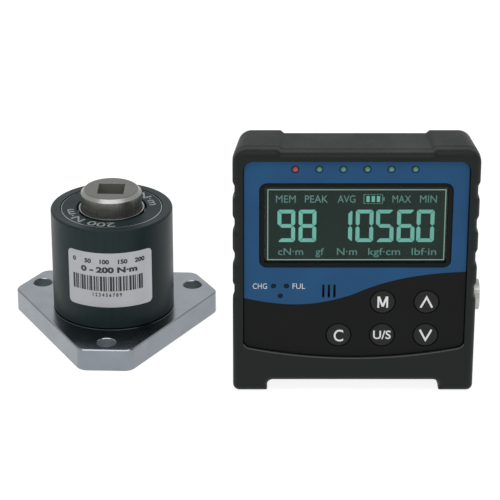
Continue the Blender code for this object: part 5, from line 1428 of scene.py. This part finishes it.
class CalibratorCaseFront(bpy.types.Operator):
    """Front half of the moulded case with its lugs, grips, feet and panel recess"""

    bl_idname = "calibrator.case_front"
    bl_label = "Case front"

    def execute(self, context):
        sizes = settings().sizes
        edge, lip, ease = sizes.case_edge, sizes.panel_lip, 0.15
        levels = [(edge + 0.1, 0.0)] + quarter(edge, 9) + [(0.0, SEAM - ease), (ease, SEAM)]
        piece = layered("case_front", levels, lambda inset, depth: case_outline(inset))
        angle = np.linspace(0, np.pi / 2, 6)
        cutter = [(GAP, PANEL_BACK + GAP), (GAP, lip + 0.3)]
        cutter += list(zip(GAP + lip * (1 - np.cos(angle)), lip * (1 - np.sin(angle))))
        cutter.append((GAP + lip + 0.8, -1.0))
        recess = standing([panel_outline(grow) for grow, _ in cutter], [depth for _, depth in cutter])
        cut(piece, [recess], on_meter)
        wall, face = 3.0, 5.3
        hollow = rounded(box_corners(HALF_WIDTH - wall, ARCH + wall, CASE_TOP - wall - 2.0, 3.5), 6)
        cut(piece, [plate(hollow, face, 20.0)], on_meter)
        front, back = -2.0, 8.0
        opening = plate(window_inset(2.0, 1.4, 4), front, back)
        cut(piece, face_holes(front, back, slots=False) + [opening], on_meter)
        self.mark_lip_polish_and_highlight(piece, lip)
        dress(piece, "case", replaced=["front_shell"])
        return {"FINISHED"}

    def mark_lip_polish_and_highlight(self, piece, lip):
        """Mark the points of the lip under the panel, where hands rub it glossy and where a highlight is
        painted on it.
        """
        place = np.empty(len(piece.data.vertices) * 3)
        piece.data.vertices.foreach_get("co", place)
        x, depth, z = (place.reshape(-1, 3) / MM - RIM).T
        on_lip = (depth > 0.02) & (depth < lip + 0.05) & (np.abs(x) < PANEL_HALF + 1.2)
        below = (z > PANEL_MIDDLE - 1.5) & (z < PANEL_END + 1.2)
        lip_polish_and_highlight = piece.data.attributes.new("lip_polish_and_highlight", "FLOAT", "POINT")
        lip_polish_and_highlight.data.foreach_set("value", (on_lip & below).astype(np.float32))


class CalibratorCaseBack(bpy.types.Operator):
    """Rear half of the moulded case with its screw wells and side ports"""

    bl_idname = "calibrator.case_back"
    bl_label = "Case back"

    def execute(self, context):
        edge, wall, ease = settings().sizes.case_back_edge, 3.0, 0.15
        start = SEAM + GAP
        deep = BACK - start
        levels = [(wall, BACK - wall), (wall, start), (ease, start), (0.0, start + ease),
                  (0.0, start + (deep - edge) / 2)]
        levels += [(inset, BACK - rise) for inset, rise in reversed(quarter(edge, 9))] + [(edge + 0.4, BACK)]
        piece = layered("case_back", levels, lambda inset, depth: case_outline(inset, (depth - start) / deep))
        outside = 90.0
        ports = (((1, 0, 0), (0, SOCKET_DEPTH, PORT_Z), SOCKET_HOLE),
                 ((-1, 0, 0), (0, JACK_DEPTH, PORT_Z), JACK_HOLE))
        pads = [rod(PORT_PAD, PORT_FACE - 3.0, PORT_FACE, side, place, 96) for side, place, _ in ports]
        combine(piece, merged(pads), on_meter, "UNION")
        cut(piece, [rod(PORT_PAD, PORT_FACE, outside, side, place, 96) for side, place, _ in ports], on_meter)
        holes = [rod(radius, 30.0, outside, side, place, 64) for side, place, radius in ports]
        thread, head, chamfer, beyond = 1.6, 2.8, 0.35, 1.0
        well = [(thread, 20.0), (thread, 23.3), (head, 23.3), (head, BACK - chamfer), (head + chamfer, BACK),
                (head + chamfer + beyond, BACK + beyond)]
        holes += [aimed(lathe(well, 40), INTO, (x, 0, z)) for x, z in SCREWS]
        cut(piece, holes, on_meter)
        dress(piece, "case", replaced=["rear_shell"])
        return {"FINISHED"}


class CalibratorPanel(bpy.types.Operator):
    """Printed front panel and its white words"""

    bl_idname = "calibrator.panel"
    bl_label = "Front panel"

    def execute(self, context):
        edge, mouth = 0.15, 0.12
        levels = [(edge, PANEL_FRONT), (0.0, PANEL_FRONT + edge), (0.0, PANEL_BACK)]
        piece = layered("panel_film", levels, lambda inset, depth: panel_outline(-inset))
        front, back = 0.0, 6.0
        holes = face_holes(front, back, ease=mouth)
        cut(piece, holes + [plate(window_outline(GAP), front, back)], on_meter)
        dress(piece, "panel", replaced=["front_panel"])
        level = CHARGE_LAMPS["charging"][1]
        points, faces = merged(words(body, 2.7, width, -0.008, (x, level))
                               for body, width, x in (("CHG", 6.6, -44.3), ("FUL", 5.8, -26.1)))
        legend = as_mesh("panel_words", (upright(points, PANEL_FRONT - 0.01), faces), on_meter)
        dress(legend, "white ink")
        return {"FINISHED"}


def display_words():
    """The display's dim row of states above the digits, its row of units below, and the battery sign."""
    states = (("MEM", -32.4, 9.1), ("PEAK", -18.3, 10.6), ("AVG", -4.4, 8.2), ("MAX", 21.0, 8.5),
              ("MIN", 33.3, 7.8))
    units = (("cN·m", -30.0, 11.6), ("gf", -16.5, 3.9), ("N·m", -3.8, 9.3), ("kgf·cm", 13.5, 14.8),
             ("lbf·in", 32.0, 11.4))
    shapes = [words(body, cap, width, 0.0, (x, z))
              for row, cap, z in ((states, 3.6, STATE_ROW), (units, 3.5, UNIT_ROW)) for body, x, width in row]
    half, line = 4.3, 0.32
    left, right = BATTERY_SIGN - half, BATTERY_SIGN + half
    low, high = STATE_ROW - 2.3, STATE_ROW + 2.3
    shapes += [bar(x - line / 2, x + line / 2, low, high) for x in (left, right)]
    dash, pitch = 0.95, 1.45
    shapes += [bar(x, x + dash, z - line / 2, z + line / 2)
               for x in np.arange(left, right - 0.5, pitch) for z in (low, high)]
    shapes.append(bar(right + 0.3, right + 0.9, STATE_ROW - 0.8, STATE_ROW + 0.8))
    return shapes


def display_digits(middle):
    """Plain digits in the middle of the field, and the three bars of the battery sign."""
    sizes = settings().sizes
    shapes = []
    for figure, x in zip("9810560", (-32.1, -22.3, -5.7, 4.1, 13.5, 23.2, 32.3)):
        shapes += digit(figure, x, middle, sizes.digit_width, sizes.digit_height, sizes.digit_stroke)
    pitch, half, tall = 2.4, 0.75, 1.5
    return shapes + [bar(x - half, x + half, STATE_ROW - tall, STATE_ROW + tall)
                     for x in (BATTERY_SIGN - pitch, BATTERY_SIGN, BATTERY_SIGN + pitch)]


class CalibratorDisplay(bpy.types.Operator):
    """Clear window, its black border, the display field and everything lit on it"""

    bl_idname = "calibrator.display"
    bl_label = "Display"

    def execute(self, context):
        ease = 0.2
        levels = ((ease, WINDOW_FRONT), (0.0, WINDOW_FRONT + ease), (0.0, WINDOW_BACK - ease),
                  (ease, WINDOW_BACK))
        glass = layered("window_glass", levels, lambda inset, depth: window_outline(-inset))
        dress(glass, "window", replaced=["display_window"])
        skin = plate(window_outline(-ease), WINDOW_FRONT - 0.1, WINDOW_FRONT - 0.01)
        border = as_mesh("window_border", skin, on_meter)
        cut(border, [plate(window_inset(1.9, 0.8, 4, 0.2), 1.0, 5.0)], on_meter)
        dress(border, "border")
        pane = plate(window_inset(2.3, 1.1, 5), FIELD_FRONT, FIELD_BACK)
        field = as_mesh("display_field", pane, on_meter)
        dress(field, "field", replaced=["lcd_glass"])

        low, high, left, right, line = WINDOW_LOW + 2.7, WINDOW_HIGH - 3.6, -40.9, 41.5, 0.45
        frame_line = [bar(left, right, high - line, high), bar(left, right, low, low + line),
                      bar(left, left + line, low, high), bar(right - line, right, low, high)]
        digits = display_digits((low + high) / 2 - 0.5)
        for name, shapes, finish in (("display_digits", digits, "lit"),
                                     ("display_frame", frame_line, "frame line"),
                                     ("display_words", display_words(), "dim")):
            points, faces = merged(shapes)
            lit = as_mesh(name, (upright(points, FIELD_FRONT - 0.01), faces), on_meter)
            dress(lit, finish)
        return {"FINISHED"}


def lamp_shape(radius, tip, flat):
    """Domed lens: an elliptic dome in front of a straight barrel, then a flange and a stem.

    The dome's profile is radius r sin a and depth tip + flat (1 - cos a), for a from nearly 0 to a
    quarter turn.
    """
    angle = np.linspace(0.06, np.pi / 2, 10)
    dome = list(zip(radius * np.sin(angle), tip + flat * (1 - np.cos(angle))))
    rim, stem = 2.0, 1.1
    return lathe(dome + [(radius, CLIP_FRONT), (rim, CLIP_FRONT), (rim, CLIP_BACK), (stem, CLIP_BACK),
                         (stem, 12.0)], 40)


class CalibratorLamps(bpy.types.Operator):
    """The row of six lamps over the display and the three small lamps beside the charge words"""

    bl_idname = "calibrator.lamps"
    bl_label = "Lamps"

    def execute(self, context):
        for number, (x, z) in enumerate(LAMPS, 1):
            lens = aimed(lamp_shape(LAMP_RADIUS, 1.0, 0.8), INTO, (x, 0, z))
            tint = "red" if number == 1 else "green"
            dress(as_mesh(f"lamp_lens_{number}", lens, on_meter), f"{tint} lens",
                  replaced=[f"lamp_{number}"])
        for name, (x, z) in CHARGE_LAMPS.items():
            lens = aimed(lamp_shape(CHARGE_RADIUS, 1.5, 0.35), INTO, (x, 0, z))
            dress(as_mesh(f"charge_lens_{name}", lens, on_meter), "dark lens",
                  replaced=[f"lamp_{name}"])
        return {"FINISHED"}


def key_shape():
    """Key cap: shallow dome, rolled edge, skirt, flange and stem, from front to back.

    The dome's depth is front + dome s^2 for a share s of its radius, and the edge is a quarter round.
    """
    flat, rim, stem = KEY_RADIUS - KEY_EDGE, 6.9, 1.5
    across = np.linspace(0.06, 1, 9)
    crown = list(zip(flat * across, KEY_FRONT + KEY_DOME * across ** 2))
    angle = np.linspace(0, np.pi / 2, 8)[1:]
    roll = list(zip(flat + KEY_EDGE * np.sin(angle), KEY_FRONT + KEY_DOME + KEY_EDGE * (1 - np.cos(angle))))
    return lathe(crown + roll + [(KEY_RADIUS, CLIP_FRONT), (rim, CLIP_FRONT), (rim, CLIP_BACK),
                                 (stem, CLIP_BACK), (stem, CLIP_BACK + 3.0)], 96)


def legend_skin():
    """A thin skin along the key's dome, which legends are cut from."""
    across = np.linspace(0.001, 1.0, 9)
    over, under = 0.03, 0.08
    front, back = (list(zip((KEY_RADIUS - KEY_EDGE) * across, KEY_FRONT + offset + KEY_DOME * across ** 2))
                   for offset in (-over, under))
    return lathe(front + back[::-1], 48)


class CalibratorKeys(bpy.types.Operator):
    """Five round keys, each with its white legend, both set on the key's own body"""

    bl_idname = "calibrator.keys"
    bl_label = "Keys"

    def execute(self, context):
        line, thick = 0.9, 1.2
        chevron = np.array([(-2.75, -2.7), (0.0, 2.7), (2.75, -2.7)])
        half_m = [(-2.5, 3.1), (-2.5, -2.75), (-1.65, -2.75), (-1.65, 1.0), (-0.42, -2.2)]
        letter_m = half_m + [(-x, y) for x, y in reversed(half_m)] + [(1.35, 3.1), (0.0, -0.6), (-1.35, 3.1)]
        legends = {
            "memory": slab(letter_m, thick),
            "up": stroke(chevron, line, thick),
            "clear": words("C", 6.1, 4.5, 0.008, thick=thick),
            "unit": words("U/S", 4.35, 8.3, 0.012, (0.0, 0.4), thick),
            "down": stroke(chevron * (1, -1) + (0.0, 0.3), line, thick),
        }
        for name, (x, z) in KEYS.items():
            body = f"button_{name}"
            cap = as_mesh(f"key_{name}", aimed(key_shape(), INTO, (x, 0, z)), on_meter)
            dress(cap, "key", body, [body])
            points, faces = legends[name]
            legend = as_mesh(f"key_legend_{name}", (upright(points + (x, z, 0.0), 1.4), faces), on_meter)
            combine(legend, aimed(legend_skin(), INTO, (x, 0, z)), on_meter, "INTERSECT")
            dress(legend, "white ink", body)
        return {"FINISHED"}


class CalibratorInside(bpy.types.Operator):
    """Finishes for the CAD pieces that keep their own shape, most of them inside the cases"""

    bl_idname = "calibrator.inside"
    bl_label = "Inner pieces"

    # Each finish, and how the names of its CAD nodes start
    STARTS = {
        "rubber": ("base_seal",),
        "bearing": ("bearing",),
        "foil": ("strain_gauge",),
        "board": ("terminal_board", "main_board"),
        "screw": ("shaft_bolt", "sleeve_screw", "case_screw", "board_screw"),
        "nickel": ("sensor_socket_nut", "meter_socket_nut"),
        "socket": ("sensor_socket_insert", "meter_socket_insert", "charge_jack"),
        "chip": ("buzzer",),
        "wrap": ("battery_pack",),
        "backlight": ("lcd_backlight",),
        "switch": ("switch",),
    }

    def execute(self, context):
        for name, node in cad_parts.items():
            finish = next((finish for finish, starts in self.STARTS.items() if name.startswith(starts)), None)
            if finish is None:
                continue
            if not node.data.materials:
                node.data.materials.append(None)
            for holder in node.material_slots:
                holder.link = "OBJECT"
                holder.material = material(finish)
        return {"FINISHED"}


# Studio


def area_light(name, place, target, size, power):
    """A rectangular soft box that looks at a target."""
    light = bpy.data.lights.new(name, "AREA")
    light.shape = "RECTANGLE"
    light.size, light.size_y = size
    light.energy = power
    holder = linked(name, light)
    holder.location = place
    aim = np.asarray(target, float) - np.asarray(place, float)
    tilt = math.acos(-aim[2] / np.linalg.norm(aim))
    holder.rotation_euler = (tilt, 0.0, math.atan2(aim[1], aim[0]) - math.pi / 2)


class CalibratorStage(bpy.types.Operator):
    """Pale floor, even light, soft boxes and the camera at the photograph's angle"""

    bl_idname = "calibrator.stage"
    bl_label = "Studio"

    def execute(self, context):
        studio = settings().studio
        scene = context.scene
        scene.view_settings.view_transform = "Standard"
        far = 6.0
        mesh = bpy.data.meshes.new("studio_floor")
        mesh.from_pydata([(-far, -far, 0), (far, -far, 0), (far, far, 0), (-far, far, 0)], [], [(0, 1, 2, 3)])
        mesh.materials.append(material("floor"))
        floor = linked("studio_floor", mesh)
        world = bpy.data.worlds.new("even_light")
        world.use_nodes = True
        background = world.node_tree.nodes["Background"]
        background.inputs["Color"].default_value = (1.0, 1.0, 1.0, 1.0)
        background.inputs["Strength"].default_value = studio.sky
        scene.world = world
        area_light("overhead_box", (0.0, -0.55, 1.2), (0.0, 0.0, 0.0), (1.8, 0.4), studio.overhead)
        area_light("back_box", (0.0, 1.6, 0.85), (0.0, 0.0, 0.1), (2.4, 0.9), studio.behind)
        optics = bpy.data.cameras.new("photo_camera")
        optics.sensor_width = 36.0
        optics.lens = studio.lens
        camera = linked("photo_camera", optics)
        camera.location = studio.camera_place
        camera.rotation_euler = (studio.camera_pitch, 0.0, 0.0)
        scene.camera = camera
        return {"FINISHED"}


# Add-on


class CalibratorSidebar(bpy.types.Panel):
    """Sidebar with a button for each piece"""

    bl_idname = "VIEW3D_PT_calibrator"
    bl_label = "Calibrator"
    bl_space_type = "VIEW_3D"
    bl_region_type = "UI"
    bl_category = "Calibrator"

    def draw(self, context):
        for operator in OPERATORS:
            self.layout.operator(operator.bl_idname)
        for group in ("sizes", "colours", "studio"):
            column = self.layout.column()
            held = getattr(settings(), group)
            for name in held.__annotations__:
                column.prop(held, name)


GROUPS = (CalibratorSizes, CalibratorColours, CalibratorStudio, CalibratorSettings)
OPERATORS = (
    CalibratorStage,
    CalibratorFlange,
    CalibratorBody,
    CalibratorLabel,
    CalibratorDriveHead,
    CalibratorSockets,
    CalibratorCaseFront,
    CalibratorCaseBack,
    CalibratorPanel,
    CalibratorDisplay,
    CalibratorLamps,
    CalibratorKeys,
    CalibratorInside,
)


def register():
    """Register the add-on's classes and settings."""
    for group in GROUPS + OPERATORS + (CalibratorSidebar,):
        bpy.utils.register_class(group)
    bpy.types.Scene.calibrator = bpy.props.PointerProperty(
        type=CalibratorSettings, name="Calibrator", description="Settings of the torque wrench calibrator")


def unregister():
    """Remove the add-on's classes and settings."""
    del bpy.types.Scene.calibrator
    for group in reversed(GROUPS + OPERATORS + (CalibratorSidebar,)):
        bpy.utils.unregister_class(group)


def main():
    """Build every piece in order."""
    register()
    for operator in OPERATORS:
        getattr(bpy.ops.calibrator, operator.bl_idname.split(".")[1])()
    bpy.context.view_layer.update()


if __name__ == "__main__":
    main()
